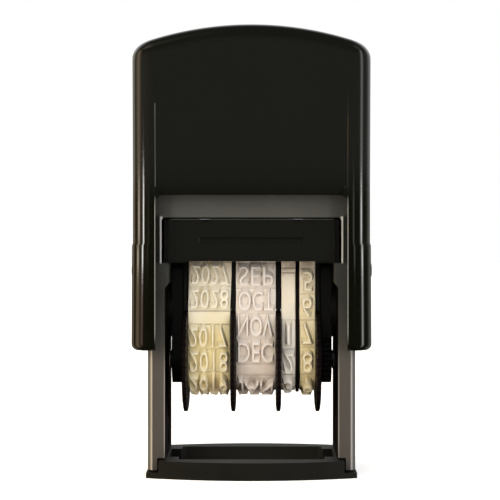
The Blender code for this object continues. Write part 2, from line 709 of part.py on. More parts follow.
def make_wheel(name, disc, drum, plastic, turn):
    """Knurled setting wheel with the lugged drum that drives its band."""
    wheel = solid(name, prism(knurled_circle(WHEEL_RADIUS, KNURL_DEPTH, KNURL_COUNT), "X", *disc), plastic, turn)
    fuse(wheel, "drum", prism(knurled_circle(DRUM_RADIUS, DRUM_LUG_DEPTH, DRUM_LUGS), "X", *drum))
    ends = min(disc[0], drum[0]) - OVERRUN, max(disc[1], drum[1]) + OVERRUN
    cut(wheel, "bore", prism(circle(AXLE_RADIUS + GAP), "X", *ends))
    return wheel


def make_carrier(plastic, faces, flip):
    """Type bed inside the bands, with fins between them that stop above the wheels."""
    end = STACK_HALF
    carrier = solid("type_carrier", prism(unit_belt(0), "X", -end, end), plastic, flip)
    fin = unit_belt(BAND_OFFSET - FIN_DEPTH)
    wheels = [name for name in faces if name.endswith("wheel")]
    for name in wheels:
        left, right = faces[name]
        fin_faces = (-end if name == wheels[0] else left, end if name == wheels[-1] else right)
        fuse(carrier, f"fin_{name}", prism(fin, "X", *fin_faces))
    drum_room = belt([
        (0, -AXLE_DROP - WHEEL_RADIUS, DRUM_RADIUS + BAND_OFFSET, CORNER_STEPS),
        (0, -AXLE_DROP, DRUM_RADIUS + GAP, ROUND_STEPS // 2),
    ])
    cut(carrier, "drum_room", prism(drum_room, "X", -end - OVERRUN, end + OVERRUN))
    wheel_room = circle(WHEEL_RADIUS + GAP, (0, -AXLE_DROP), 2 * ROUND_STEPS)
    for name in wheels:
        left, right = faces[name]
        room = (left - SIDE_GAP, right + SIDE_GAP)
        if name == wheels[0]:
            room = (-end - OVERRUN, room[1])
        if name == wheels[-1]:
            room = (room[0], end + OVERRUN)
        cut(carrier, f"room_{name}", prism(wheel_room, "X", *room))
    left, right = faces["band_divider"]
    slot_reach = BED_DEPTH + BAND_OFFSET
    slot = rectangle(-slot_reach, slot_reach, -AXLE_DROP, DIVIDER_TOP + GAP)
    cut(carrier, "divider_slot", prism(slot, "X", left - SIDE_GAP, right + SIDE_GAP))
    tenon = rectangle(-TENON_DEPTH / 2, TENON_DEPTH / 2,
                      TENON_MIDDLE - TENON_HEIGHT / 2, TENON_MIDDLE + TENON_HEIGHT / 2)
    tip = UNIT_INNER + TENON_LENGTH
    fuse(carrier, "tenon_right", prism(tenon, "X", end - WELD, tip))
    fuse(carrier, "tenon_left", prism(tenon, "X", -tip, WELD - end))
    return carrier


def cheek_outline():
    """Side plate of the unit: a round end at the axle and a narrower top."""
    corner = CHEEK_CORNER
    side, top = CHEEK_TOP_DEPTH / 2 - corner, CHEEK_TOP - corner
    return belt([
        (0, -AXLE_DROP, CHEEK_END_RADIUS, BAND_END_STEPS),
        (side, top, corner, BAND_CORNER_STEPS),
        (-side, top, corner, BAND_CORNER_STEPS),
    ])


def ridge_outline():
    """Grip ridges down the front edge of the right side plate."""
    root = -CHEEK_END_RADIUS
    crest = root - RIDGE_HEIGHT
    top = RIDGE_PITCH * RIDGE_COUNT / 2 - AXLE_DROP
    points = [(0, top - RIDGE_PITCH * RIDGE_COUNT), (0, top), (root, top)]
    for i in range(RIDGE_COUNT):
        upper = top - RIDGE_PITCH * i
        points += [(crest, upper - RIDGE_PITCH / 4), (crest, upper - RIDGE_PITCH / 2),
                   (root, upper - RIDGE_PITCH * 3 / 4)]
    return points


def make_side(name, side, ridged, plastic, flip):
    """Side plate with its trunnion, collar and cam pin."""

    def between(low, high):
        return sorted((side * low, side * high))

    cheek = solid(name, prism(cheek_outline(), "X", *between(UNIT_INNER, UNIT_OUTER)), plastic, flip)
    if ridged:
        fuse(cheek, "ridges", prism(ridge_outline(), "X", *between(UNIT_INNER + WELD, UNIT_OUTER - WELD)))
    root = UNIT_OUTER - WELD
    collar_face = UNIT_OUTER + COLLAR_THICKNESS
    fuse(cheek, "collar", prism(circle(COLLAR_RADIUS), "X", *between(root, collar_face)))
    trunnion_tip = FRAME_SIDE + BOSS_BORE_DEPTH
    fuse(cheek, "trunnion", prism(circle(TRUNNION_RADIUS), "X", *between(root, trunnion_tip)))
    cam_tip = LEG_INNER + CAM_DEPTH - GAP
    pin = circle(CAM_PIN_RADIUS, (0, CAM_ARM), ROUND_STEPS // 2)
    fuse(cheek, "cam_pin", prism(pin, "X", *between(root, cam_tip)))
    bore = circle(AXLE_RADIUS + GAP, (0, -AXLE_DROP))
    cut(cheek, "axle_bore", prism(bore, "X", *between(UNIT_INNER - OVERRUN, UNIT_OUTER + OVERRUN)))
    half_u, half_v = TENON_DEPTH / 2 + GAP, TENON_HEIGHT / 2 + GAP
    socket = rectangle(-half_u, half_u, TENON_MIDDLE - half_v, TENON_MIDDLE + half_v)
    socket_end = UNIT_INNER + TENON_LENGTH + GAP
    cut(cheek, "socket", prism(socket, "X", *between(UNIT_INNER - OVERRUN, socket_end)))
    return cheek


def make_divider(plastic, face, flip):
    corner = CHEEK_CORNER
    side, top = BED_DEPTH / 2 + BAND_OFFSET - FIN_DEPTH - corner, DIVIDER_TOP - corner
    outline = belt([
        (0, -AXLE_DROP, DRUM_RADIUS + BAND_OFFSET - FIN_DEPTH, BAND_END_STEPS),
        (side, top, corner, BAND_CORNER_STEPS),
        (-side, top, corner, BAND_CORNER_STEPS),
    ])
    divider = solid("band_divider", prism(outline, "X", *face), plastic, flip)
    bore = circle(AXLE_RADIUS + GAP, (0, -AXLE_DROP))
    cut(divider, "bore", prism(bore, "X", face[0] - OVERRUN, face[1] + OVERRUN))
    return divider


def make_axle(steel, turn):
    """Axle with a flat head outside each side plate."""
    head_in = UNIT_OUTER + SIDE_GAP
    head_out = head_in + AXLE_HEAD_THICKNESS
    right = [(head_in, AXLE_RADIUS), (head_in, AXLE_HEAD_RADIUS), (head_out, AXLE_HEAD_RADIUS), (head_out, 0)]
    return solid("wheel_axle", turned(mirrored(right) + right), steel, turn)


def make_unit(black, dark, rubbers, steel, flip):
    faces = stack_faces()
    make_carrier(dark, faces, flip)
    make_side("unit_side_left", -1, False, black, flip)
    make_side("unit_side_right", 1, True, black, flip)
    make_divider(black, faces["band_divider"], flip)
    outer, inner = unit_belt(BAND_OFFSET), unit_belt(GAP)
    for name, rubber in rubbers.items():
        solid(name, hoop(outer, inner, "X", *faces[name]), rubber, flip)

    turn = joint("wheel_turn", (0, 0, PIVOT_Z - AXLE_DROP), flip)
    make_axle(steel, turn)
    for name in ("year", "month", "day_tens", "day_units"):
        disc, band = faces[f"{name}_wheel"], faces[f"{name}_band"]
        if disc[0] < band[0]:
            drum = (disc[1] - WELD, band[1])
        else:
            drum = (band[0], disc[0] + WELD)
        make_wheel(f"{name}_wheel", disc, drum, black, turn)


def main():
    for thing in list(bpy.data.objects):
        bpy.data.objects.remove(thing)

    gloss_black = look("gloss black ABS", (0.006, 0.006, 0.007), 0.12)
    anthracite = look("anthracite ABS", (0.045, 0.046, 0.047), 0.45)
    base_black = look("black ABS", (0.010, 0.010, 0.011), 0.35)
    wheel_black = look("black nylon", (0.008, 0.008, 0.008), 0.50)
    carrier_black = look("black acetal", (0.012, 0.012, 0.012), 0.55)
    cream = look("cream rubber", (0.72, 0.62, 0.40), 0.55)
    pale = look("pale rubber", (0.74, 0.66, 0.56), 0.55)
    ivory = look("ivory rubber", (0.74, 0.70, 0.60), 0.55)
    spring_steel = look("spring steel", (0.56, 0.57, 0.58), 0.30, 1.0)
    foam = look("inked foam", (0.020, 0.016, 0.030), 0.90)

    cap_slide = joint("cap_slide", (0, 0, PIVOT_Z))
    unit_flip = joint("unit_flip", (0, 0, PIVOT_Z), cap_slide)
    cassette_slide = joint("cassette_slide", (0, 0, 0))

    make_frame(anthracite)
    make_base(base_black)
    make_cassette(base_black, foam, cassette_slide)
    make_spring(spring_steel)
    make_cap(gloss_black, cap_slide)
    make_button("lock_button_left", -1, gloss_black, cap_slide)
    make_button("lock_button_right", 1, gloss_black, cap_slide)
    rubbers = {"year_band": cream, "month_band": pale, "day_tens_band": ivory, "day_units_band": cream}
    make_unit(wheel_black, carrier_black, rubbers, spring_steel, unit_flip)


main()
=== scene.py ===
import json
import math
import random

import bmesh
import bpy
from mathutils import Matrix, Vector, noise

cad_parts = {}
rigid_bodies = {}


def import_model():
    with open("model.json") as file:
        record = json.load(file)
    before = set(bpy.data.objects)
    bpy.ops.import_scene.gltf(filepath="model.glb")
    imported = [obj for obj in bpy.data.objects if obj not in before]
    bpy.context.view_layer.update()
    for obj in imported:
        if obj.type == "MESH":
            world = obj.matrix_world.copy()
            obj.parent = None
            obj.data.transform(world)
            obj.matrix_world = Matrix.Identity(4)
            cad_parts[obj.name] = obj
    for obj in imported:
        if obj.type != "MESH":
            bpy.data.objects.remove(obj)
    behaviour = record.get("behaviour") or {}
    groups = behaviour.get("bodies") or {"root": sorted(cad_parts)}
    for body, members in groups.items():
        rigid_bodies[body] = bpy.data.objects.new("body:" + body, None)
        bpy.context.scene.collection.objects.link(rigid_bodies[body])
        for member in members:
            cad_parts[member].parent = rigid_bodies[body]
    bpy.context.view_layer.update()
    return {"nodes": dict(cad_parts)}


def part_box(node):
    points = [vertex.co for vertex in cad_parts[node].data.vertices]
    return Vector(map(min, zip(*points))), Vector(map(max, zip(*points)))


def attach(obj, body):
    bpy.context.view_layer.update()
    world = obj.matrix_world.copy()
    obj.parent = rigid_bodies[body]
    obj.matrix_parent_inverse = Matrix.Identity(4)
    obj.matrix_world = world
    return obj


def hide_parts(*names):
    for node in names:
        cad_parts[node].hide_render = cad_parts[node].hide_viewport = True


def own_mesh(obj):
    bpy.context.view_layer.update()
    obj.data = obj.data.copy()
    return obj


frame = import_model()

nodes = frame["nodes"]
mm = 0.001
print("date stamp: frame loaded,", len(nodes), "nodes")


# small helpers

def linear(hexColour):
    parts = [int(hexColour[i:i + 2], 16) / 255 for i in (1, 3, 5)]
    return tuple(p / 12.92 if p <= 0.04045 else ((p + 0.055) / 1.055) ** 2.4 for p in parts) + (1.0,)


def addNode(tree, kind, settings=None, links=None):
    # a link starts at the output that is given, or at the first output of the node that is given
    node = tree.nodes.new(kind)
    for key, value in (settings or {}).items():
        if isinstance(key, int) or key in node.inputs:
            node.inputs[key].default_value = value
        else:
            setattr(node, key, value)
    for key, source in (links or {}).items():
        tree.links.new(getattr(source, "outputs", [source])[0], node.inputs[key])
    return node


def openMaterial(material):
    # its tree, its shader and the place on the object
    tree = material.node_tree
    return tree, tree.nodes["Principled BSDF"], addNode(tree, "ShaderNodeTexCoord").outputs["Object"]


def newMaterial(name):
    material = bpy.data.materials.new(name)
    material.use_nodes = True
    return material, *openMaterial(material)


def smoothStep(value, low, high):
    t = min(max((value - low) / (high - low), 0), 1)
    return t * t * (3 - 2 * t)


def meshPiece(name, mesh, material):
    piece = bpy.data.objects.new(name, mesh)
    bpy.context.scene.collection.objects.link(piece)
    piece.data.materials.clear()
    piece.data.materials.append(material)
    return piece


def toMesh(shape, name):
    mesh = bpy.data.meshes.new(name)
    bmesh.ops.recalc_face_normals(shape, faces=shape.faces)
    shape.to_mesh(mesh)
    shape.free()
    mesh.shade_smooth()
    return mesh


def arcPoints(centre, radius, start, end, steps):
    turn = (end - start) / steps
    return [(centre[0] + radius * math.cos(start + turn * i), centre[1] + radius * math.sin(start + turn * i))
            for i in range(steps + 1)]


def joinRings(shape, rings):
    # faces between each ring of vertices and the next
    for a, b in zip(rings, rings[1:]):
        for k in range(len(a)):
            after = (k + 1) % len(a)
            shape.faces.new([a[k], a[after], b[after], b[k]])


def addPrism(shape, outline, low, high, axis="X"):
    # a solid along one axis, from an outline in the other two
    def at(u, v, along):
        return {"X": (along, u, v), "Y": (u, along, v), "Z": (u, v, along)}[axis]

    ends = [[shape.verts.new([c * mm for c in at(u, v, along)]) for u, v in outline] for along in (low, high)]
    shape.faces.new(ends[0])
    shape.faces.new(ends[1])
    joinRings(shape, ends)


def bevel(piece, width, segments):
    rounding = piece.modifiers.new("edges", "BEVEL")
    rounding.width = width * mm
    rounding.segments = segments
    rounding.limit_method = "ANGLE"
    rounding.angle_limit = math.radians(35)


def evenNormals(piece):
    piece.modifiers.new("normals", "WEIGHTED_NORMAL").keep_sharp = False


# materials

multiply = {"operation": "MULTIPLY"}
absolute = {"operation": "ABSOLUTE"}


def plastic(name, light, dark, roughness, grain, grainSize, blotch=6.0, specks=0.0, wear=0.06, gloss=0.5):
    # moulded plastic: a faint blotch in the colour, a grain in the surface and uneven polish
    material, tree, shader, place = newMaterial(name)
    cloud = addNode(tree, "ShaderNodeTexNoise", {
        "Scale": 1 / (blotch * mm), "Detail": 3.0, "Roughness": 0.55,
    }, {"Vector": place})
    fine = addNode(tree, "ShaderNodeTexNoise", {
        "Scale": 1 / (grainSize * mm), "Detail": 2.0, "Roughness": 0.6,
    }, {"Vector": place})
    colour = addNode(tree, "ShaderNodeMix", {"data_type": "RGBA", 6: linear(dark), 7: linear(light)},
                     {0: cloud})
    surface = colour.outputs[2]
    if specks:  # dust that has settled on it
        dots = addNode(tree, "ShaderNodeTexVoronoi", {"Scale": 1 / (0.9 * mm), "Randomness": 1.0},
                       {"Vector": place})
        near = addNode(tree, "ShaderNodeMapRange", {"From Min": 0.085, "From Max": 0.05}, {"Value": dots})
        some = addNode(tree, "ShaderNodeMapRange", {"From Min": 1 - specks, "From Max": 1 - specks + 0.01},
                       {"Value": dots.outputs["Color"]})
        both = addNode(tree, "ShaderNodeMath", multiply, {0: near, 1: some})
        dusty = addNode(tree, "ShaderNodeMix", {"data_type": "RGBA", 7: linear("#8F8B80")},
                        {0: both, 6: surface})
        surface = dusty.outputs[2]
    tree.links.new(surface, shader.inputs["Base Color"])
    rub = addNode(tree, "ShaderNodeMapRange", {"To Min": roughness - wear, "To Max": roughness + wear},
                  {"Value": cloud})
    tree.links.new(rub.outputs[0], shader.inputs["Roughness"])
    bump = addNode(tree, "ShaderNodeBump", {"Strength": grain, "Distance": 0.02 * mm}, {"Height": fine})
    tree.links.new(bump.outputs[0], shader.inputs["Normal"])
    shader.inputs["IOR"].default_value = 1.5
    shader.inputs["Specular IOR Level"].default_value = gloss
    return material


def rubber(name, high, low, shade, crestHighlight, inkAndShade, turn):
    # moulded stamp rubber: matt, yellower towards the wheels; painted highlight on the type's crests, painted
    # shade in the hollows, ink stain mixed with painted shade near the ends
    material, tree, shader, place = newMaterial(name)
    parts = addNode(tree, "ShaderNodeSeparateXYZ", links={0: place})
    cloud = addNode(tree, "ShaderNodeTexNoise", {"Scale": 1 / (4.0 * mm), "Detail": 4.0, "Roughness": 0.6},
                    {"Vector": place})
    smear = addNode(tree, "ShaderNodeTexNoise", {"Scale": 1 / (1.6 * mm), "Detail": 5.0, "Roughness": 0.7,
                                                 "Distortion": 0.6}, {"Vector": place})
    fine = addNode(tree, "ShaderNodeTexNoise", {"Scale": 1 / (0.18 * mm), "Detail": 2.0}, {"Vector": place})
    lean = addNode(tree, "ShaderNodeVectorMath", {"operation": "DOT_PRODUCT", 1: (-0.3, 0, 1)}, {0: place})
    fall = addNode(tree, "ShaderNodeMapRange", {"From Min": turn[0] * mm, "From Max": turn[1] * mm},
                   {"Value": lean.outputs["Value"]})
    aged = addNode(tree, "ShaderNodeMix", {"data_type": "RGBA", 6: linear(high), 7: linear(low)}, {0: fall})
    uneven = addNode(tree, "ShaderNodeMapRange", {"From Min": 0.42, "From Max": 0.72, "To Max": 0.5},
                     {"Value": cloud})
    clouded = addNode(tree, "ShaderNodeMix", {"data_type": "RGBA", 7: linear(shade)},
                      {0: uneven, 6: aged.outputs[2]})
    relief = addNode(tree, "ShaderNodeAttribute", {"attribute_name": "relief"}).outputs["Fac"]
    # painted highlight: the higher the relief, the paler, on the type's crests and the rounded band edges
    crest = addNode(tree, "ShaderNodeMapRange", {"From Min": 0.5, "From Max": 1.0, "To Max": 0.5},
                    {"Value": relief})
    lifted = addNode(tree, "ShaderNodeMix", {"data_type": "RGBA", 7: linear(crestHighlight)},
                     {0: crest, 6: clouded.outputs[2]})
    # painted shade: darker in the grooves between the cells and at the foot of the type
    hollowShade = addNode(tree, "ShaderNodeMapRange", {"From Min": 0.22, "From Max": -0.45, "To Max": 0.8},
                     {"Value": relief})
    shadedHollows = addNode(tree, "ShaderNodeMix", {"data_type": "RGBA", 7: linear("#7D7464")},
                    {0: hollowShade, 6: lifted.outputs[2]})
    # ink stain mixed with painted shade: brown on the low parts near the bottom of each band and just under
    # the cassette, where shade falls
    under = addNode(tree, "ShaderNodeMapRange", {"From Min": 17.0 * mm, "From Max": 13.6 * mm, "To Max": 1.3},
                    {"Value": parts.outputs["Z"]})
    over = addNode(tree, "ShaderNodeMapRange", {"From Min": 32.4 * mm, "From Max": 35.2 * mm, "To Max": 0.6},
                   {"Value": parts.outputs["Z"]})
    ends = addNode(tree, "ShaderNodeMath", {"operation": "ADD"}, {0: under, 1: over})
    patch = addNode(tree, "ShaderNodeMapRange", {"From Min": 0.36, "From Max": 0.60}, {"Value": smear})
    valley = addNode(tree, "ShaderNodeMapRange", {"From Min": 0.90, "From Max": 0.35}, {"Value": relief})
    spread = addNode(tree, "ShaderNodeMath", multiply, {0: ends, 1: patch})
    inkAndShadeAmount = addNode(tree, "ShaderNodeMath", {"operation": "MULTIPLY", "use_clamp": True},
                    {0: spread, 1: valley})
    inkedAndShaded = addNode(tree, "ShaderNodeMix", {"data_type": "RGBA", 7: linear(inkAndShade)},
                     {0: inkAndShadeAmount, 6: shadedHollows.outputs[2]})
    tree.links.new(inkedAndShaded.outputs[2], shader.inputs["Base Color"])
    shader.inputs["Roughness"].default_value = 0.52
    shader.inputs["IOR"].default_value = 1.5
    bump = addNode(tree, "ShaderNodeBump", {"Strength": 0.35, "Distance": 0.03 * mm}, {"Height": fine})
    tree.links.new(bump.outputs[0], shader.inputs["Normal"])
    return material


def drawnSteel():
    # spring wire, drawn through a die: bright, with streaks that run round the coil
    material, tree, shader, place = newMaterial("drawn spring steel")
    streak = addNode(tree, "ShaderNodeTexNoise", {"Scale": 1 / (0.25 * mm), "Detail": 2.0}, {"Vector": place})
    colour = addNode(tree, "ShaderNodeMix", {"data_type": "RGBA", 6: linear("#A9ABAC"), 7: linear("#C9CBCC")},
                     {0: streak})
    tree.links.new(colour.outputs[2], shader.inputs["Base Color"])
    rub = addNode(tree, "ShaderNodeMapRange", {"To Min": 0.22, "To Max": 0.38}, {"Value": streak})
    tree.links.new(rub.outputs[0], shader.inputs["Roughness"])
    shader.inputs["Metallic"].default_value = 1.0
    return material


def inkedFoam():
    # fine open-cell foam, soaked with ink: dull, nearly black, pitted
    material, tree, shader, place = newMaterial("inked open-cell foam")
    cells = addNode(tree, "ShaderNodeTexVoronoi", {"Scale": 1 / (0.35 * mm)}, {"Vector": place})
    colour = addNode(tree, "ShaderNodeMix", {"data_type": "RGBA", 6: linear("#0C0A12"), 7: linear("#262033")},
                     {0: cells})
    tree.links.new(colour.outputs[2], shader.inputs["Base Color"])
    bump = addNode(tree, "ShaderNodeBump", {"Strength": 0.8, "Distance": 0.12 * mm}, {"Height": cells})
    tree.links.new(bump.outputs[0], shader.inputs["Normal"])
    shader.inputs["Roughness"].default_value = 0.85
    return material


def paintZones(material, zones):
    # painted light and shade in soft-sided boxes; gives the widest amount back
    tree, shader, place = openMaterial(material)
    parts = addNode(tree, "ShaderNodeSeparateXYZ", links={0: place})
    values = [addNode(tree, "ShaderNodeMath", absolute, {0: parts.outputs[axis]}).outputs[0]
              for axis in ("X", "Y")] + [parts.outputs["Z"]]
    colour = shader.inputs["Base Color"].links[0].from_socket
    widest = 0.0
    for *reaches, softness, paint, strength in zones.values():
        amount = strength
        for value, (low, high), soft in zip(values, reaches, softness):
            for outside, inside in ((low - soft, low + soft), (high + soft, high - soft)):
                reach = {"From Min": outside * mm, "From Max": inside * mm}
                edge = addNode(tree, "ShaderNodeMapRange", reach, {"Value": value})
                step = addNode(tree, "ShaderNodeMath", multiply, {0: edge})
                if amount is strength:
                    step.inputs[1].default_value = strength
                else:
                    tree.links.new(amount, step.inputs[1])
                amount = step.outputs[0]
        colour = addNode(tree, "ShaderNodeMix", {"data_type": "RGBA", 7: linear(paint)},
                         {0: amount, 6: colour}).outputs[2]
        most = addNode(tree, "ShaderNodeMath", {"operation": "MAXIMUM"}, {0: amount})
        if widest:
            tree.links.new(widest, most.inputs[1])
        widest = most.outputs[0]
    tree.links.new(colour, shader.inputs["Base Color"])
    return widest


def rubCorners(material, paint, strength):
    # painted highlight: the edges of the legs and of the channel are made pale on the front and the back,
    # where they would catch the light
    tree, shader, place = openMaterial(material)
    parts = addNode(tree, "ShaderNodeSeparateXYZ", links={0: place})
    depth = addNode(tree, "ShaderNodeMath", absolute, {0: parts.outputs["Y"]})
    outer = addNode(tree, "ShaderNodeMapRange", {"From Min": 8.66 * mm, "From Max": 8.72 * mm},
                    {"Value": depth})
    normal = addNode(tree, "ShaderNodeNewGeometry").outputs["Normal"]
    facing = addNode(tree, "ShaderNodeSeparateXYZ", links={0: normal})
    turned = addNode(tree, "ShaderNodeMath", absolute, {0: facing.outputs["X"]})
    rise = addNode(tree, "ShaderNodeMapRange", {"From Min": 0.26, "From Max": 0.44, "To Max": strength},
                   {"Value": turned})
    fall = addNode(tree, "ShaderNodeMapRange", {"From Min": 0.99, "From Max": 0.84}, {"Value": turned})
    both = addNode(tree, "ShaderNodeMath", multiply, {0: rise, 1: fall})
    amount = addNode(tree, "ShaderNodeMath", multiply, {0: both, 1: outer})
    edgeHighlight = addNode(tree, "ShaderNodeMix", {"data_type": "RGBA", 7: linear(paint)},
                   {0: amount, 6: shader.inputs["Base Color"].links[0].from_socket})
    tree.links.new(edgeHighlight.outputs[2], shader.inputs["Base Color"])


def dullInk(material, inked):
    # the painted shade on the frame's inner walls and cam tracks also takes the shine off the plastic; the
    # amount given is that painted shade
    tree = material.node_tree
    dulled = addNode(tree, "ShaderNodeMapRange", {"To Min": 0.5, "To Max": 0.02}, {"Value": inked})
    tree.links.new(dulled.outputs[0], tree.nodes["Principled BSDF"].inputs["Specular IOR Level"])


# each zone: reach of |x|, |y| and z in mm, softness along each, colour and strength
# painted highlight: a pale line down the inner front edges of the cap's arms
capHighlightZones = {
    "painted highlight by the panel": ((15.60, 15.79), (11.6, 12.2), (23.0, 45.4), (0.04, 0.1, 1.0), "#8A8A85", 0.85),
}
# painted light and shade on the frame's front and back faces: warm light low on the legs, shade higher up and
# beside the channel, highlights along the channel's and the legs' inner edges
frameLightAndShade = {
    "painted warm light low on the legs": ((13.0, 17.5), (8.6, 9.2), (-1.0, 22.0), (0.5, 0.1, 4.0), "#48413A", 0.6),
    "painted shade high on the legs": ((13.0, 17.5), (8.9, 9.2), (24.0, 44.0), (0.5, 0.1, 6.0), "#2A2B27", 0.75),
    "shade beside the channel": ((15.1, 17.5), (8.9, 9.2), (35.3, 43.1), (0.04, 0.1, 0.3), "#1C1D19", 1.0),
    "painted highlight on the channel's edge": ((14.7, 15.1), (8.5, 9.2), (35.3, 43.0), (0.03, 0.1, 0.1), "#B4B4AF", 0.9),
    "painted highlight on the legs' inner edge": ((14.1, 14.45), (8.7, 9.2), (3.2, 19.0), (0.03, 0.1, 3.0), "#96918A", 0.8),
}
# painted shade: the frame's inner walls and cam tracks, which lie in shade, painted nearly black
shadeZones = {
    "inner walls": ((13.0, 14.3), (-1.0, 9.4), (-1.0, 31.4), (0.03, 0.2, 0.15), "#0E0A06", 1.0),
    "cam tracks": ((13.0, 15.5), (-1.0, 8.6), (-1.0, 31.4), (0.04, 0.04, 0.15), "#0E0A06", 1.0),
}
# painted light: the window in the base, which lies in shade, made paler
baseLightZones = {
    "painted light in the window": ((-1.0, 12.4), (-1.0, 8.7), (-1.0, 5.0), (0.1, 0.1, 0.5), "#2B2A25", 0.8),
}

polishedAbs = plastic("polished black ABS", "#0B0C07", "#080905", 0.07, 0.09, 0.8, blotch=9.0, wear=0.02)
paintZones(polishedAbs, capHighlightZones)
grainedAbs = plastic("spark-grained anthracite ABS", "#4A4A46", "#41413D", 0.44, 0.45, 0.16)
paintZones(grainedAbs, frameLightAndShade)
rubCorners(grainedAbs, "#8F8B84", 0.75)
dullInk(grainedAbs, paintZones(grainedAbs, shadeZones))
satinAbs = plastic("satin black ABS", "#11120D", "#0C0D09", 0.36, 0.30, 0.22)
dullAbs = plastic("dull black ABS", "#1B1B17", "#141410", 0.55, 0.30, 0.22, specks=0.10, gloss=0.08)
paintZones(dullAbs, baseLightZones)
nylon = plastic("ink-stained black nylon", "#120806", "#070404", 0.55, 0.30, 0.25, blotch=3.0, gloss=0.25)
acetal = plastic("black acetal", "#0B0C08", "#070705", 0.45, 0.25, 0.25)
springSteel = drawnSteel()
foam = inkedFoam()
# colours after the name: top tone, lower tone, cloud tone, painted crest highlight, ink stain mixed with
# painted shade; then the heights where the tone turns
yearRubber = rubber("cream stamp rubber", "#E4DECC", "#DED0A0", "#D0BE8A", "#F1EAD6", "#BC9E6C", (31.0, 24.5))
monthRubber = rubber("pale stamp rubber", "#DED6CB", "#D6C9BA", "#C6B4A6", "#F0E8E0", "#5C3E30", (28.0, 17.5))
tensRubber = rubber("ivory stamp rubber", "#DFD6C2", "#D8D3C9", "#CBC0AA", "#F2ECDE", "#6A4E2C", (27.0, 22.0))
unitsRubber = rubber("aged stamp rubber", "#E0D6BE", "#D8C898", "#C4B082", "#F0E7CC", "#4E3614", (30.0, 18.0))
print("date stamp: materials ready")


# CAD solids that keep their shape: the mould's small edge radii, and their finish

def dress(name, material, edge, slotName):
    node = nodes[name]
    node.data.materials.clear()
    node.data.materials.append(material)
    weld = node.modifiers.new("weld", "WELD")
    weld.merge_threshold = 0.001 * mm
    flat = node.modifiers.new("flats", "DECIMATE")
    flat.decimate_type = "DISSOLVE"
    flat.angle_limit = math.radians(0.5)
    bevel(node, edge, 2)
    evenNormals(node)


finishes = {
    "frame_housing": (grainedAbs, 0.16, "anthracite_plastic"),
    "base_plate": (dullAbs, 0.12, "black_plastic"),
    "cassette_tray": (satinAbs, 0.10, "black_plastic"),
    "lock_button_left": (polishedAbs, 0.06, "gloss_black_plastic"),
    "lock_button_right": (polishedAbs, 0.06, "gloss_black_plastic"),
    "type_carrier": (acetal, 0.05, "black_plastic"),
    "unit_side_left": (acetal, 0.08, "black_plastic"),
    "unit_side_right": (acetal, 0.06, "black_plastic"),
    "wheel_axle": (springSteel, 0.05, "spring_steel"),
}
for nodeName, finish in finishes.items():
    dress(nodeName, *finish)
print("date stamp: CAD solids dressed")


# cap

cap = {
    "shoulder": 19.65, "waist": 19.55, "arm": 19.7, "foot": 19.8,  # half widths, mm
    "halfDepth": 12.0, "corner": 3.5, "topEdge": 1.8, "footEdge": 1.0,
    "top": 74.5, "crownRadius": 55.0, "skirt": 46.45, "footHeight": 21.0, "armHeight": 38.2,
    "stepHeight": 38.6, "wall": 1.5, "openHalf": 15.67, "openCorner": 1.2,
    "panelHalf": 15.75, "panelSink": 0.13, "panelEdge": 0.16, "panelLow": 47.65, "panelDrop": 0.68,
    "buttonHeight": 34.0, "buttonHole": 1.65, "pivotHeight": 27.0, "bossRadius": 2.9, "postRadius": 2.3,
    "browSlope": 0.10, "edge": 0.16, "cornerSteps": 14, "past": 0.3,
    "sideCut": (17.0, 30.0), "frontCut": 20.0, "bossInner": 17.45, "postLength": 6.5,
    "bore": 1.8, "boreCut": (17.0, 18.65),
}


def crownHeight(x, top, radius):
    return top - radius + math.sqrt(radius ** 2 - x ** 2)


def capPlan(halfWidth, halfDepth, corner, columns):
    left = arcPoints((corner - halfWidth, corner - halfDepth), corner, math.pi, math.pi * 1.5,
                     cap["cornerSteps"])
    flat = halfWidth - corner
    front = left + [(x * flat / (cap["waist"] - cap["corner"]), -halfDepth) for x in columns]
    front += [(-x, y) for x, y in reversed(left)]
    return front + [(x, -y) for x, y in reversed(front)]


def capColumns():
    inner = cap["panelHalf"] - cap["panelEdge"]
    middle = [inner * i / 22 for i in range(-22, 23)]
    return [-cap["panelHalf"], *middle, cap["panelHalf"]]


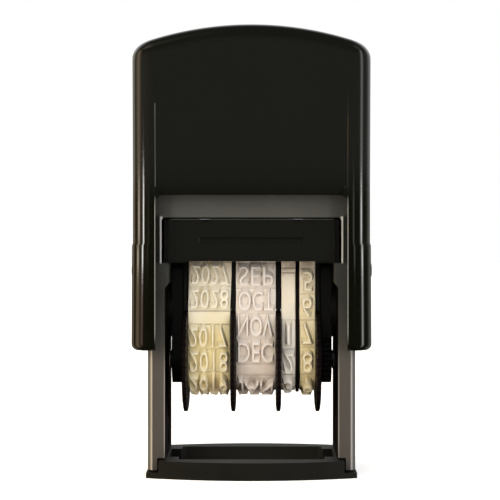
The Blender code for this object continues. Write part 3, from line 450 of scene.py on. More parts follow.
def capShell():
    shape = bmesh.new()
    columns = capColumns()
    corner = [False] * (cap["cornerSteps"] + 1)
    sunken = corner + [abs(x) < cap["panelHalf"] - 0.01 for x in columns] + corner
    sunken += sunken[::-1]
    rows = []
    foot, edge = cap["footHeight"], cap["footEdge"]
    for i in range(7):
        angle = math.pi / 2 * i / 6
        rows.append((cap["foot"], edge * (1 - math.sin(angle)), foot + edge * (1 - math.cos(angle)), None))
    for share in (0.25, 0.5, 0.75, 1.0):
        z = foot + edge + (cap["armHeight"] - foot - edge) * share
        rows.append((cap["foot"] + (cap["arm"] - cap["foot"]) * share, 0, z, None))
    rows.append((cap["waist"], 0, cap["stepHeight"], None))
    low = cap["panelLow"]
    for z in (42.5, low - 0.02, low + cap["panelEdge"]):
        rows.append((cap["waist"], 0, z, None))
    topEdge = cap["topEdge"]
    panelTop = topEdge + cap["panelDrop"]
    for share in (0.25, 0.5, 0.62, 0.74, 0.84, 0.92, 1.0):
        rows.append((cap["waist"] + (cap["shoulder"] - cap["waist"]) * share, 0, share, panelTop))
    for i in range(11):
        angle = math.pi / 2 * i / 10
        rows.append((cap["shoulder"], topEdge * (1 - math.cos(angle)), 1.0, topEdge * (1 - math.sin(angle))))

    rings = []
    panelStart = low + cap["panelEdge"]
    for halfWidth, inset, z, drop in rows:
        brow = cap["browSlope"] if drop is not None and drop < panelTop else 0
        plan = capPlan(halfWidth - inset, cap["halfDepth"] - inset - brow, cap["corner"] - inset, columns)
        ring = []
        for (x, y), sunk in zip(plan, sunken):
            if drop is None:
                height = z
            else:
                crown = crownHeight(x, cap["top"], cap["crownRadius"]) - drop
                height = panelStart + (crown - panelStart) * z
            if sunk and (z > low if drop is None else drop == panelTop):
                fade = 1 if drop is None else 1 - smoothStep(z, 0.55, 1.0)
                y -= math.copysign(cap["panelSink"] * fade, y)
            ring.append(shape.verts.new((x * mm, y * mm, height * mm)))
        rings.append(ring)
    count = len(rings[0])
    joinRings(shape, rings)
    half = count // 2
    last = rings[-1]
    for i in range(half - 1):
        shape.faces.new([last[i], last[i + 1], last[-2 - i], last[-1 - i]])

    wall = cap["wall"]
    innerPlan = capPlan(cap["waist"] - wall, cap["halfDepth"] - wall, cap["corner"] - wall, columns)
    innerRings = []
    for level in range(2):
        innerRings.append([shape.verts.new((
            x * mm, y * mm,
            (foot if level == 0 else crownHeight(x, cap["top"] - wall, cap["crownRadius"] - wall)) * mm,
        )) for x, y in innerPlan])
    for i in range(count):
        after = (i + 1) % count
        shape.faces.new([innerRings[0][i], innerRings[1][i], innerRings[1][after], innerRings[0][after]])
        shape.faces.new([rings[0][i], innerRings[0][i], innerRings[0][after], rings[0][after]])
    top = innerRings[1]
    for i in range(half - 1):
        shape.faces.new([top[i], top[-1 - i], top[-2 - i], top[i + 1]])
    return toMesh(shape, "capShell")


def prismTool(outline, axis, low, high):
    shape = bmesh.new()
    addPrism(shape, outline, low, high, axis)
    return toMesh(shape, "tool")


def bake(piece):
    # puts the modifiers into the mesh
    graph = bpy.context.evaluated_depsgraph_get()
    mesh = bpy.data.meshes.new_from_object(piece.evaluated_get(graph))
    piece.modifiers.clear()
    old = piece.data
    piece.data = mesh
    bpy.data.meshes.remove(old)


def carve(piece, tools, operation="DIFFERENCE"):
    for i, tool in enumerate(tools):
        helper = meshPiece(f"tool{i}", tool, piece.data.materials[0])
        step = piece.modifiers.new(f"cut{i}", "BOOLEAN")
        step.operation, step.solver, step.object = operation, "EXACT", helper
    bake(piece)
    for helper in [o for o in bpy.data.objects if o.name.startswith("tool")]:
        bpy.data.objects.remove(helper)


def circle(height, radius, steps):
    return arcPoints((0, height), radius, 0, math.pi * 2, steps)[:-1]


def makeCap():
    piece = meshPiece("capShell", capShell(), polishedAbs)
    low = cap["footHeight"] - 2
    corner = (cap["openHalf"] - cap["openCorner"], cap["skirt"] - cap["openCorner"])
    right = [(cap["openHalf"], low)] + arcPoints(corner, cap["openCorner"], 0, math.pi / 2, 12)
    opening = right + [(-u, v) for u, v in reversed(right)]
    hole = circle(cap["buttonHeight"], cap["buttonHole"], 40)
    (near, far), front = cap["sideCut"], cap["frontCut"]
    carve(piece, [prismTool(opening, "Y", -front, front), prismTool(hole, "X", -far, -near),
                  prismTool(hole, "X", near, far)])
    bossOuter = cap["waist"] - cap["wall"] + cap["past"]
    boss = circle(cap["pivotHeight"], cap["bossRadius"], 40)
    innerTop = cap["top"] - cap["wall"]
    post = circle(0, cap["postRadius"], 32)
    carve(piece, [
        prismTool(boss, "X", cap["bossInner"], bossOuter),
        prismTool(boss, "X", -bossOuter, -cap["bossInner"]),
        prismTool(post, "Z", innerTop - cap["postLength"], innerTop + cap["past"]),
    ], "UNION")
    bore = circle(cap["pivotHeight"], cap["bore"], 32)
    near, far = cap["boreCut"]
    carve(piece, [prismTool(bore, "X", near, far), prismTool(bore, "X", -far, -near)])
    bevel(piece, cap["edge"], 3)
    bake(piece)
    evenNormals(piece)
    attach(piece, "cap")
    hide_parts("cap_shell")


makeCap()
print("date stamp: cap made")


# rubber bands

belt = {
    "drumRadius": 5.8, "drumHeight": 18.9,  # outer line of every band, mm
    "cornerRadius": 1.7, "cornerSide": 1.6, "cornerHeight": 35.5,
    "thickness": 1.1, "face": -0.50, "sideRound": 0.16, "groove": 0.11, "grooveHalf": 0.17,
    "topCell": 4.16,  # the cell that prints
    "letterHeight": 3.9, "rise": 0.30, "flank": 0.42, "body": 0.03, "thin": -0.10, "slant": 0.55,
    "wobble": 0.05, "step": 0.55, "capShare": 0.72, "slice": 0.4,
}
bands = {
    "year_band": {
        "piece": "yearBand", "material": yearRubber, "slot": "cream_rubber", "spread": 0.95, "seed": 3,
        "cells": [(2.2, ""), (4.15, "2027"), (4.15, "2028"), (2.24, ""),
                  *((4.15, str(year)) for year in range(2017, 2026))],
        "top": "2026", "line": 0.85, "lean": 0.25,
    },
    "month_band": {
        "piece": "monthBand", "material": monthRubber, "slot": "pale_rubber", "spread": 0.93, "seed": 11,
        "cells": [(2.33, ""), (4.3, "SEP"), (4.27, "OCT"), (4.3, "NOV"), (4.37, "DEC"), (2.25, ""),
                  *((4.3, month) for month in ("JAN", "FEB", "MAR", "APR", "MAY", "JUN", "JUL"))],
        "top": "AUG", "line": 0.45, "lean": 0.0,
    },
    "day_tens_band": {
        "piece": "dayTensBand", "material": tensRubber, "slot": "ivory_rubber", "spread": 0.86, "seed": 23,
        "cells": [(3.2, ""), (0.8, ""), (8.0, ""), (4.9, "1"), (4.7, "2"), (4.6, "3"), (4.6, ""), (4.6, ""),
                  (4.6, "1"), (4.6, "2"), (4.6, "3")],
        "top": "2", "line": 0.8, "lean": 0.0,
    },
    "day_units_band": {
        "piece": "dayUnitsBand", "material": unitsRubber, "slot": "cream_rubber", "spread": 0.80, "seed": 31,
        "cells": [(3.2, ""), (4.4, "5"), (4.4, "6"), (4.6, "7"), (4.9, "8"),
                  *((4.6, day) for day in ("9", "0", "1", "2", "3", ""))],
        "top": "4", "line": 0.7, "lean": 0.0,
    },
}

reach = math.hypot(belt["cornerSide"], belt["cornerHeight"] - belt["drumHeight"])
sideAngle = 2 * math.pi + math.atan2(belt["drumHeight"] - belt["cornerHeight"], belt["cornerSide"]) \
    - math.acos((belt["cornerRadius"] - belt["drumRadius"]) / reach)
stretches = [
    belt["cornerSide"], belt["cornerRadius"] * (sideAngle - math.pi / 2),
    math.sqrt(reach ** 2 - (belt["drumRadius"] - belt["cornerRadius"]) ** 2),
    belt["drumRadius"] * (math.pi * 1.5 - sideAngle),
]
halfWay = sum(stretches)


def onBelt(s, height):
    # a point on the band, s mm from the middle of the printing face, forward and down, then up the back
    s %= 2 * halfWay
    mirror = 1
    if s > halfWay:
        s, mirror = 2 * halfWay - s, -1
    flat, bend, side, _ = stretches
    if s < flat:
        y, z, angle = -s, belt["cornerHeight"] + belt["cornerRadius"], math.pi / 2
    elif s < flat + bend:
        angle = math.pi / 2 + (s - flat) / belt["cornerRadius"]
        y = -belt["cornerSide"] + belt["cornerRadius"] * math.cos(angle)
        z = belt["cornerHeight"] + belt["cornerRadius"] * math.sin(angle)
    elif s < flat + bend + side:
        angle = sideAngle
        along = s - flat - bend
        y = -belt["cornerSide"] + belt["cornerRadius"] * math.cos(angle) - along * math.sin(angle)
        z = belt["cornerHeight"] + belt["cornerRadius"] * math.sin(angle) + along * math.cos(angle)
    else:
        angle = sideAngle + (s - flat - bend - side) / belt["drumRadius"]
        y = belt["drumRadius"] * math.cos(angle)
        z = belt["drumHeight"] + belt["drumRadius"] * math.sin(angle)
    return mirror * (y + height * math.cos(angle)), z + height * math.sin(angle)


def leaning(s, spec):
    # how far the band runs to the side near the printing face
    away = min(s % (2 * halfWay), -s % (2 * halfWay))
    return spec["lean"] * (1 - smoothStep(away, 4.0, 13.0))


def bandLines(spec):
    # where the thin lines between the cells run, and the middle of each cell with its text
    at = belt["topCell"] / 2
    lines, cells = [at], [(0.0, spec["top"])]
    for length, words in spec["cells"]:
        cells.append((at + length / 2, words))
        at += length
        lines.append(at)
    end = 2 * halfWay - belt["topCell"] / 2
    if end - at > 0.5:
        lines.append(end)
    return lines, cells


def raisedWords(words, width, height):
    # mirrored type with sloping flanks, before it is laid on the band
    curve = bpy.data.curves.new("type", "FONT")
    curve.body = words
    curve.size = height / belt["capShare"]
    curve.align_x = "CENTER"
    curve.resolution_u = 3
    curve.offset = belt["thin"]
    curve.extrude = belt["body"]
    curve.bevel_depth = belt["flank"]
    curve.bevel_resolution = 0
    helper = bpy.data.objects.new("type", curve)
    bpy.context.scene.collection.objects.link(helper)
    bpy.context.view_layer.update()
    mesh = bpy.data.meshes.new_from_object(helper.evaluated_get(bpy.context.evaluated_depsgraph_get()))
    bpy.data.objects.remove(helper)
    bpy.data.curves.remove(curve)
    shape = bmesh.new()
    shape.from_mesh(mesh)
    bpy.data.meshes.remove(mesh)
    low = [min(v.co[i] for v in shape.verts) for i in range(2)]
    high = [max(v.co[i] for v in shape.verts) for i in range(2)]
    stretchX = min(1.0, width / (high[0] - low[0]))
    stretchY = height / (high[1] - low[1])
    for v in shape.verts:
        v.co.x = (v.co.x - (low[0] + high[0]) / 2) * stretchX
        v.co.y = (v.co.y - (low[1] + high[1]) / 2) * stretchY
        drop = (belt["body"] + belt["flank"] - v.co.z) / belt["flank"]
        v.co.z = belt["rise"] - drop * (belt["rise"] - belt["face"])
    at = -height / 2 + belt["slice"]
    while at < height / 2:
        geometry = shape.verts[:] + shape.edges[:] + shape.faces[:]
        bmesh.ops.bisect_plane(shape, geom=geometry, plane_co=(0, at, 0), plane_no=(0, 1, 0))
        at += belt["slice"]
    return shape


def makeBand(node, spec):
    low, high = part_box(node)
    left, right = low.x / mm, high.x / mm
    middle, width = (left + right) / 2, right - left
    lines, cells = bandLines(spec)
    chance = random.Random(spec["seed"])
    depths = [min(spec["line"] * chance.uniform(0.6, 1.3), 1.0) * belt["groove"] for _ in lines]
    stops = set()
    for line in lines:
        for offset in (-1.0, -0.45, 0.0, 0.45, 1.0):
            stops.add(round(line + offset * belt["grooveHalf"], 4))
    count = int(2 * halfWay / belt["step"])
    for i in range(count):
        s = 2 * halfWay * i / count
        if all(abs(s - line) > 1.6 * belt["grooveHalf"] for line in lines):
            stops.add(round(s, 4))
    stops = sorted(stops)

    edge = belt["sideRound"]
    across = [(0.0, -edge), (0.05, -edge * 0.45), (edge, 0.0)]
    for i in range(1, 8):
        across.append((edge + (width - 2 * edge) * i / 8, 0.0))
    across += [(width - x, drop) for x, drop in reversed(across[:3])]

    shape = bmesh.new()
    layer = shape.verts.layers.float.new("relief")
    outer, inner = [], []
    for s in stops:
        depth = 0.0
        for line, cut in zip(lines, depths):
            away = abs(s - line) / belt["grooveHalf"]
            if away < 1:
                depth = max(depth, cut * (1 - away * away))
        ring = []
        for x, drop in across:
            sway = leaning(s, spec) + noise.noise((s * 0.35, spec["seed"], 0.0)) * belt["wobble"]
            lump = noise.noise((s * 0.6, x * 0.5, spec["seed"])) * 0.02
            y, z = onBelt(s, belt["face"] + drop - depth + lump)
            v = shape.verts.new(((left + x + sway) * mm, y * mm, z * mm))
            # the relief value steers the painted light: low in the grooves for painted shade, raised at the
            # rounded band edges for the painted crest highlight
            v[layer] = 0.3 - depth / belt["groove"] * 0.75 + (0.45 if drop < -0.01 else 0.0)
            ring.append(v)
        outer.append(ring)
        y, z = onBelt(s, -belt["thickness"])
        inner.append([shape.verts.new(((left + x) * mm, y * mm, z * mm)) for x in (0.05, width - 0.05)])
    rows = len(stops)
    for i in range(rows):
        after = (i + 1) % rows
        for j in range(len(across) - 1):
            shape.faces.new([outer[i][j], outer[i][j + 1], outer[after][j + 1], outer[after][j]])
        shape.faces.new([inner[i][0], inner[after][0], inner[after][1], inner[i][1]])
        shape.faces.new([outer[i][0], outer[after][0], inner[after][0], inner[i][0]])
        shape.faces.new([outer[i][-1], inner[i][1], inner[after][1], outer[after][-1]])
    bmesh.ops.recalc_face_normals(shape, faces=shape.faces)

    for place, words in cells:
        if not words:
            continue
        letters = raisedWords(words, width * spec["spread"], belt["letterHeight"])
        lift = letters.verts.layers.float.new("relief")
        shiftX, shiftS = chance.uniform(-0.08, 0.08), chance.uniform(-0.05, 0.05)
        for v in letters.verts:
            height = v.co.z
            share = min(max((height - belt["face"]) / (belt["rise"] - belt["face"]), 0.0), 1.0)
            y, z = onBelt(place + shiftS + v.co.y + belt["slant"] * (share - 0.6), height)
            sway = leaning(place + v.co.y, spec)
            # the type's relief steers its painted crest highlight and the painted shade at its foot
            v[lift] = 0.3 + 0.7 * share
            v.co = Vector(((middle + shiftX + sway + v.co.x) * mm, y * mm, z * mm))
        bmesh.ops.reverse_faces(letters, faces=letters.faces)
        part = bpy.data.meshes.new("letters")
        letters.to_mesh(part)
        letters.free()
        shape.from_mesh(part)
        bpy.data.meshes.remove(part)
    mesh = bpy.data.meshes.new(spec["piece"])
    shape.to_mesh(mesh)
    shape.free()
    mesh.shade_smooth()
    mesh.set_sharp_from_angle(angle=math.radians(38))
    piece = meshPiece(spec["piece"], mesh, spec["material"])
    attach(piece, "date_unit")
    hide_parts(node)


for nodeName, bandSpec in bands.items():
    makeBand(nodeName, bandSpec)
print("date stamp: bands and type made")


# setting wheels, divider, the date unit's spacers and the strips under the tray

# known fault: two drums end 0.01 mm inside the next wheel's disc at this thickness
wheel = {
    "thickness": 0.86, "radius": 8.9, "knurl": 0.28, "teeth": 44, "edge": 0.10, "bore": 1.3, "drum": 4.4,
    "rim": 0.74, "rimInner": 8.1, "bevel": 0.15, "height": 18.9, "inset": 0.275, "spare": 0.1,
}
wheels = {
    "year_wheel": ("yearWheel", "year_setting", "year_band", 1),
    "month_wheel": ("monthWheel", "month_setting", "month_band", 1),
    "day_tens_wheel": ("dayTensWheel", "day_tens_setting", "day_tens_band", 1),
    "day_units_wheel": ("dayUnitsWheel", "day_units_setting", "day_units_band", -1),
}
spacer = {
    "inner": 11.62, "cheekInner": 11.80, "cheekOuter": 13.40, "hub": 14.15, "rib": 13.70,
    "pivot": 27.0, "hubRadius": 4.3, "hubTop": 31.5, "ribLow": 28.0, "ribTop": 35.25, "ribHalf": 2.3,
    "slip": 11.47, "slipLow": 28.2, "hubTip": 2.5,
    "cheekRadius": 3.95, "cheekTip": (1.4, 34.05, 1.15), "dividerTip": 0.9,
    "divider": 0.5, "dividerRadius": 5.6, "dividerTop": 35.5, "dividerHalf": 2.2,
}


def plateMesh(shape, name):
    mesh = toMesh(shape, name)
    mesh.set_sharp_from_angle(angle=math.radians(40))
    return mesh


def makeWheel(node, name, body, band, side):
    low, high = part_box(node)
    bandLow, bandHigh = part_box(band)
    disc = high.x - wheel["inset"] * mm if side < 0 else low.x + wheel["inset"] * mm
    half, rim, edge, radius = wheel["thickness"] / 2, wheel["rim"] / 2, wheel["edge"], wheel["radius"]
    length = (bandHigh.x - bandLow.x) / mm + wheel["spare"]
    inner, root = wheel["rimInner"], radius - edge - wheel["knurl"]
    outer = inner + wheel["bevel"]
    profile = [
        (-half, wheel["bore"], 0), (-half, inner, 0), (-rim, outer, 0), (-rim, root, 0),
        (-rim + edge, radius, 1), (0, radius, 1), (rim - edge, radius, 1),
        (rim, root, 0), (rim, outer, 0), (half, inner, 0),
        (half, wheel["drum"], 0), (half + length, wheel["drum"], 0), (half + length, wheel["bore"], 0),
    ]
    shape = bmesh.new()
    steps = []
    for i in range(wheel["teeth"]):
        for share, cut in ((0.0, 0), (0.22, 0), (0.45, 0), (0.58, 0.85), (0.66, 1), (0.80, 1), (0.88, 0.85)):
            steps.append((2 * math.pi * (i + share) / wheel["teeth"], cut * wheel["knurl"]))
    rings = []
    for angle, cut in steps:
        ring = []
        for x, r, knurled in profile:
            reach = r - cut * knurled
            ring.append(shape.verts.new((disc + side * x * mm, reach * math.cos(angle) * mm,
                                         (wheel["height"] + reach * math.sin(angle)) * mm)))
        rings.append(ring)
    joinRings(shape, rings + rings[:1])
    piece = meshPiece(name, plateMesh(shape, name), nylon)
    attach(piece, body)
    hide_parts(node)


def beltOutline(circles, steps=20):
    # the outline of a cord pulled round circles (y, z, radius), given counter-clockwise
    angles = []
    for i, (y, z, radius) in enumerate(circles):
        nextY, nextZ, nextRadius = circles[(i + 1) % len(circles)]
        away = math.hypot(nextY - y, nextZ - z)
        angles.append(math.atan2(nextZ - z, nextY - y) - math.acos((radius - nextRadius) / away))
    points = []
    for i, (y, z, radius) in enumerate(circles):
        start, end = angles[i - 1], angles[i]
        while end < start:
            end += 2 * math.pi
        points += arcPoints((y, z), radius, start, end, steps)
    return points


def makeSpacers():
    hub = beltOutline([(0, spacer["pivot"], spacer["hubRadius"]),
                       (0, spacer["hubTop"] - spacer["hubTip"], spacer["hubTip"])])
    half, top = spacer["ribHalf"], spacer["ribTop"]
    rib, slip = [[(-half, low), (half, low), (half, top), (-half, top)]
                 for low in (spacer["ribLow"], spacer["slipLow"])]
    y, z, tip = spacer["cheekTip"]
    cheek = beltOutline([(0, wheel["height"], spacer["cheekRadius"]), (y, z, tip), (-y, z, tip)])
    for side, label in ((-1, "Left"), (1, "Right")):
        shape = bmesh.new()
        for outline, low, high in (
            (cheek, "inner", "cheekInner"), (slip, "slip", "cheekInner"), (hub, "cheekOuter", "hub"),
            (rib, "cheekOuter", "rib"),
        ):
            addPrism(shape, outline, *sorted((side * spacer[low], side * spacer[high])))
        piece = meshPiece(f"unitSpacer{label}", plateMesh(shape, "unitSpacer"), acetal)
        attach(piece, "date_unit")
    shape = bmesh.new()
    tip = spacer["dividerTip"]
    half, top = spacer["dividerHalf"] - tip, spacer["dividerTop"] - tip
    outline = beltOutline([(0, wheel["height"], spacer["dividerRadius"]), (half, top, tip),
                           (-half, top, tip)])
    low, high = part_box("band_divider")
    middle = (low.x + high.x) / 2 / mm
    addPrism(shape, outline, middle - spacer["divider"] / 2, middle + spacer["divider"] / 2)
    piece = meshPiece("bandDivider", plateMesh(shape, "bandDivider"), nylon)
    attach(piece, "date_unit")
    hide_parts("band_divider")


runner = {"inner": 10.85, "outer": 14.45, "reach": 8.45, "depth": 1.5, "low": 35.33, "high": 35.62}


def makeRunners():
    # low strips under the tray's corners, which close the gap over the ledges
    shape = bmesh.new()
    for end in (-1, 1):
        inner, outer = end * (runner["reach"] - runner["depth"]), end * runner["reach"]
        low, high = runner["low"], runner["high"]
        outline = [(inner, low), (outer, low), (outer, high), (inner, high)]
        for side in (-1, 1):
            addPrism(shape, outline, *sorted((side * runner["inner"], side * runner["outer"])))
    piece = meshPiece("trayRunners", plateMesh(shape, "trayRunners"), satinAbs)
    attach(piece, "ink_cassette")


for nodeName, details in wheels.items():
    makeWheel(nodeName, *details)
makeSpacers()
makeRunners()
print("date stamp: wheels and spacers made")


# cap spring

spring = {"wire": 0.35, "radius": 3.5, "turns": 8, "endPitch": 1.25, "steps": 28, "sides": 10}


def makeSpring():
    low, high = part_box("cap_spring")
    bottom, top = low.z / mm + spring["wire"], high.z / mm - spring["wire"]
    pitch = (top - bottom - 2 * spring["endPitch"]) / (spring["turns"] - 2)
    shape = bmesh.new()
    rings = []
    total = spring["turns"] * spring["steps"]
    for i in range(total + 1):
        turns = i / spring["steps"]
        inside = min(max(turns - 1, 0), spring["turns"] - 2)
        z = bottom + pitch * inside + spring["endPitch"] * (turns - inside)
        angle = 2 * math.pi * turns
        out = Vector((math.cos(angle), math.sin(angle), 0))
        ring = []
        for k in range(spring["sides"]):
            around = 2 * math.pi * k / spring["sides"]
            point = out * (spring["radius"] + spring["wire"] * math.cos(around))
            point.z = z + spring["wire"] * math.sin(around)
            ring.append(shape.verts.new(point * mm))
        rings.append(ring)
    joinRings(shape, rings)
    shape.faces.new(rings[0])
    shape.faces.new(rings[-1])
    piece = meshPiece("capSpring", toMesh(shape, "capSpring"), springSteel)
    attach(piece, "frame")
    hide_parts("cap_spring")
    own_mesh(piece)


makeSpring()
print("date stamp: spring made")


# ink pad

pad = {"edge": 0.35, "crown": 0.10, "columns": 26, "rows": 16}


def makePad():
    low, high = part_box("ink_pad")
    shape = bmesh.new()
    middle, half = (low + high) / 2, (high - low) / 2
    rows, columns = pad["rows"], pad["columns"]

    def skin(side):
        grid = []
        for j in range(rows + 1):
            line = []
            for i in range(columns + 1):
                u, v = 2 * i / columns - 1, 2 * j / rows - 1
                x, y = u * half.x, v * half.y
                edgeX, edgeY = half.x - abs(x), half.y - abs(y)
                near = min(edgeX, edgeY) / mm
                fall = pad["edge"] * (1 - smoothStep(near, 0.0, 1.2))
                lump = noise.noise((x / mm * 0.5, y / mm * 0.5, side * 3.0)) * 0.04
                z = side * (half.z - (fall + pad["crown"] * (u * u + v * v) / 2 + abs(lump)) * mm)
                line.append(shape.verts.new((middle.x + x, middle.y + y, middle.z + z)))
            grid.append(line)
        return grid

    under, over = skin(-1), skin(1)
    for grid in (under, over):
        for j in range(rows):
            for i in range(columns):
                shape.faces.new([grid[j][i], grid[j][i + 1], grid[j + 1][i + 1], grid[j + 1][i]])
    rim = [(0, i) for i in range(columns)] + [(j, columns) for j in range(rows)] \
        + [(rows, i) for i in range(columns, 0, -1)] + [(j, 0) for j in range(rows, 0, -1)]
    for k, (j, i) in enumerate(rim):
        nextJ, nextI = rim[(k + 1) % len(rim)]
        shape.faces.new([under[j][i], under[nextJ][nextI], over[nextJ][nextI], over[j][i]])
    piece = meshPiece("inkPad", toMesh(shape, "inkPad"), foam)
    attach(piece, "ink_cassette")
    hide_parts("ink_pad")


makePad()
print("date stamp: ink pad made")


# floor, light and camera

studio = {
    "floor": "#F6F5F2", "floorSize": 6.0, "floorLift": 0.42, "farLift": 0.85,
    "ambient": 0.57, "keyWatts": 2.45, "fillWatts": 1.45, "leftWatts": 4.2, "rightWatts": 2.4,
    "upperRoom": 0.20, "lowerRoom": 0.004, "backRoom": 1.3, "horizon": 2.1, "dimFrom": 0.16, "dimRoom": 0.10,
}
# what the gloss mirrors: degrees from the camera's side (left negative), half width in degrees,
# lowest and highest degree, colour and strength
strips = {
    "warm wall": (-88, 24, -40, 25, "#FFE0B4", 1.7),
    "warm gleam": (-45, 40, -0.6, 14, "#FFD9A8", 0.12),
    "warm corner": (-134, 20, -40, 25, "#FFE2BE", 0.8),
    "left lamp": (-88, 7, -0.6, 2.0, "#FFF4E6", 8.0),
    "left tube": (-57, 7, -0.6, 2.4, "#FFFEFA", 20.0),
    "left slit": (-28, 6, -0.6, 2.0, "#FFFFF4", 0.35),
    "left ceiling": (-50, 50, 28, 55, "#F3E2C6", 1.0),
    "right ceiling": (62, 34, 30, 52, "#F2F2EA", 0.6),
    "low left wall": (-60, 11, -9, -0.7, "#FFC6BC", 1.8),
    "right window": (69, 14, -40, 25, "#FFFFFA", 2.0),
    "right tube": (69, 8, -0.6, 2.0, "#FFFFFF", 11.0),
    "low right tube": (69, 8, -7, -0.6, "#FFFFFF", 3.5),
    "right slit": (23, 6, -0.6, 2.0, "#FFFFFF", 1.4),
    "right wall": (134, 36, -40, 25, "#FEFFF6", 0.5),
}


def makeFloor():
    shape = bmesh.new()
    size = studio["floorSize"] / 2
    corners = ((-1, -1), (1, -1), (1, 1), (-1, 1))
    shape.faces.new([shape.verts.new((x * size, y * size, 0)) for x, y in corners])
    material, tree, shader, place = newMaterial("white studio paper")
    path = addNode(tree, "ShaderNodeLightPath")
    seen = addNode(tree, "ShaderNodeMath", {"operation": "ADD", "use_clamp": True},
                   {0: path.outputs["Is Camera Ray"], 1: path.outputs["Is Glossy Ray"]})
    seenToo = addNode(tree, "ShaderNodeMath", {"operation": "ADD", "use_clamp": True},
                      {0: seen, 1: path.outputs["Is Transmission Ray"]})
    fibre = addNode(tree, "ShaderNodeTexNoise", {"Scale": 900.0, "Detail": 2.0}, {"Vector": place})
    bump = addNode(tree, "ShaderNodeBump", {"Strength": 0.05, "Distance": 0.05 * mm}, {"Height": fibre})
    tree.links.new(bump.outputs[0], shader.inputs["Normal"])
    shader.inputs["Base Color"].default_value = linear(studio["floor"])
    shader.inputs["Roughness"].default_value = 0.9
    shader.inputs["Specular IOR Level"].default_value = 0.2
    glow = addNode(tree, "ShaderNodeEmission", {"Color": linear(studio["floor"])})
    nothing = addNode(tree, "ShaderNodeEmission", {"Strength": 0.0})
    away = addNode(tree, "ShaderNodeVectorMath", {"operation": "LENGTH"}, {0: place})
    # the paper is lifted to white further off, where no shadow falls
    far = addNode(tree, "ShaderNodeMapRange", {
        "From Min": 0.08, "From Max": 0.5, "To Min": studio["floorLift"], "To Max": studio["farLift"],
    }, {"Value": away.outputs["Value"]})
    tree.links.new(far.outputs[0], glow.inputs["Strength"])
    lift = addNode(tree, "ShaderNodeMixShader", links={0: seenToo, 1: nothing, 2: glow})
    total = addNode(tree, "ShaderNodeAddShader", links={0: shader, 1: lift})
    tree.links.new(total.outputs[0], tree.nodes["Material Output"].inputs["Surface"])
    floor = meshPiece("floor", toMesh(shape, "floor"), material)
    floor.visible_glossy = False


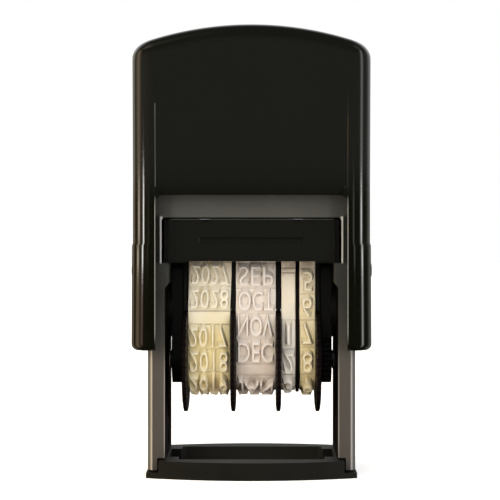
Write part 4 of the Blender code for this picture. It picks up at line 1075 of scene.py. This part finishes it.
def makeWorld():
    # white for the eye, plain light for the dull surfaces, and for the gloss a dim room with lamps and walls
    world = bpy.data.worlds.new("studio")
    bpy.context.scene.world = world
    world.use_nodes = True
    tree = world.node_tree
    direction = addNode(tree, "ShaderNodeTexCoord").outputs["Generated"]
    parts = addNode(tree, "ShaderNodeSeparateXYZ", links={0: direction})
    toCamera = addNode(tree, "ShaderNodeMath", {"operation": "MULTIPLY", 1: -1.0}, {0: parts.outputs["Y"]})
    azimuth = addNode(tree, "ShaderNodeMath", {"operation": "ARCTAN2"}, {0: parts.outputs["X"], 1: toCamera})
    height = math.sin(math.radians(studio["horizon"]))
    above = addNode(tree, "ShaderNodeMapRange", {
        "From Min": height - 0.004, "From Max": height + 0.004,
        "To Min": studio["lowerRoom"], "To Max": studio["upperRoom"],
    }, {"Value": parts.outputs["Z"]})
    ceiling = addNode(tree, "ShaderNodeMapRange", {
        "From Min": studio["dimFrom"], "From Max": studio["dimFrom"] + 0.2,
        "To Max": studio["dimRoom"] - studio["upperRoom"],
    }, {"Value": parts.outputs["Z"]})
    front = addNode(tree, "ShaderNodeMath", {"operation": "ADD"}, {0: above, 1: ceiling})
    back = addNode(tree, "ShaderNodeMapRange", {
        "From Min": 0.2, "From Max": 0.8, "To Max": studio["backRoom"],
    }, {"Value": parts.outputs["Y"]})
    high = addNode(tree, "ShaderNodeMapRange", {"From Min": 0.05, "From Max": 0.5},
                   {"Value": parts.outputs["Z"]})
    behind = addNode(tree, "ShaderNodeMath", multiply, {0: back, 1: high})
    room = addNode(tree, "ShaderNodeMath", {"operation": "ADD"}, {0: front, 1: behind})
    mirrored = room.outputs[0]
    for angle, spread, low, high, colour, strength in strips.values():
        away = addNode(tree, "ShaderNodeMath", {"operation": "SUBTRACT", 1: math.radians(angle)},
                       {0: azimuth})
        side = addNode(tree, "ShaderNodeMath", absolute, {0: away})
        across = addNode(tree, "ShaderNodeMapRange", {
            "interpolation_type": "SMOOTHSTEP", "From Min": math.radians(spread), "From Max": 0.0,
            "To Max": strength,
        }, {"Value": side})
        rise = addNode(tree, "ShaderNodeMapRange", {
            "interpolation_type": "SMOOTHSTEP", "From Min": math.sin(math.radians(low - 0.5)),
            "From Max": math.sin(math.radians(low + 0.5)),
        }, {"Value": parts.outputs["Z"]})
        fall = addNode(tree, "ShaderNodeMapRange", {
            "interpolation_type": "SMOOTHSTEP", "From Min": math.sin(math.radians(high + 0.3 * abs(high))),
            "From Max": math.sin(math.radians(high - 0.3 * abs(high))),
        }, {"Value": parts.outputs["Z"]})
        window = addNode(tree, "ShaderNodeMath", multiply, {0: rise, 1: fall})
        power = addNode(tree, "ShaderNodeMath", multiply, {0: window, 1: across})
        glow = addNode(tree, "ShaderNodeVectorMath", {"operation": "SCALE", 0: linear(colour)[:3]},
                       {"Scale": power})
        mirrored = addNode(tree, "ShaderNodeVectorMath", {"operation": "ADD"},
                           {0: mirrored, 1: glow}).outputs[0]
    path = addNode(tree, "ShaderNodeLightPath")
    plain = addNode(tree, "ShaderNodeMath", {"operation": "ADD", "use_clamp": True},
                    {0: path.outputs["Is Camera Ray"], 1: path.outputs["Is Transmission Ray"]})
    ambient = (studio["ambient"],) * 3 + (1,)
    shown = addNode(tree, "ShaderNodeMix", {"data_type": "RGBA", 6: ambient},
                    {0: path.outputs["Is Glossy Ray"], 7: mirrored})
    final = addNode(tree, "ShaderNodeMix", {"data_type": "RGBA", 7: (1, 1, 1, 1)},
                    {0: plain, 6: shown.outputs[2]})
    tree.links.new(final.outputs[2], tree.nodes["Background"].inputs["Color"])


# place in metres, width and height, watts and colour
lamps = {
    "key": ((-0.30, -0.52, 0.30), (0.45, 0.45), studio["keyWatts"], "#FFF6EA"),
    "fill": ((0.42, -0.48, 0.13), (0.45, 0.45), studio["fillWatts"], "#F2F6FF"),
    "leftRim": ((-0.45, -0.04, 0.08), (0.20, 0.35), studio["leftWatts"], "#FFE2BE"),
    "rightRim": ((0.45, -0.04, 0.08), (0.20, 0.35), studio["rightWatts"], "#FAF6FF"),
}


def softbox(name, place, size, watts, colour):
    light = bpy.data.lights.new(name, "AREA")
    light.shape, light.size, light.size_y = "RECTANGLE", *size
    light.energy, light.color = watts, linear(colour)[:3]
    thing = bpy.data.objects.new(name, light)
    bpy.context.scene.collection.objects.link(thing)
    thing.location = place
    thing.rotation_euler = (Vector((0, 0, 0.035)) - Vector(place)).to_track_quat("-Z", "Y").to_euler()
    thing.visible_glossy = False


makeFloor()
makeWorld()
for lampName, lamp in lamps.items():
    softbox(lampName, *lamp)

camera = {"place": (0.0014, -0.270, 0.0382), "lens": 114.05, "shiftX": -0.02, "shiftY": -0.0088}


def makeCamera():
    data = bpy.data.cameras.new("camera")
    data.lens, data.sensor_width = camera["lens"], 36.0
    data.shift_x, data.shift_y = camera["shiftX"], camera["shiftY"]
    data.clip_start, data.clip_end = 0.01, 20.0
    thing = bpy.data.objects.new("camera", data)
    bpy.context.scene.collection.objects.link(thing)
    thing.location = camera["place"]
    thing.rotation_euler = (math.pi / 2, 0, 0)
    bpy.context.scene.camera = thing


makeCamera()
bpy.context.scene.view_settings.view_transform = "Standard"
print("date stamp: studio ready")
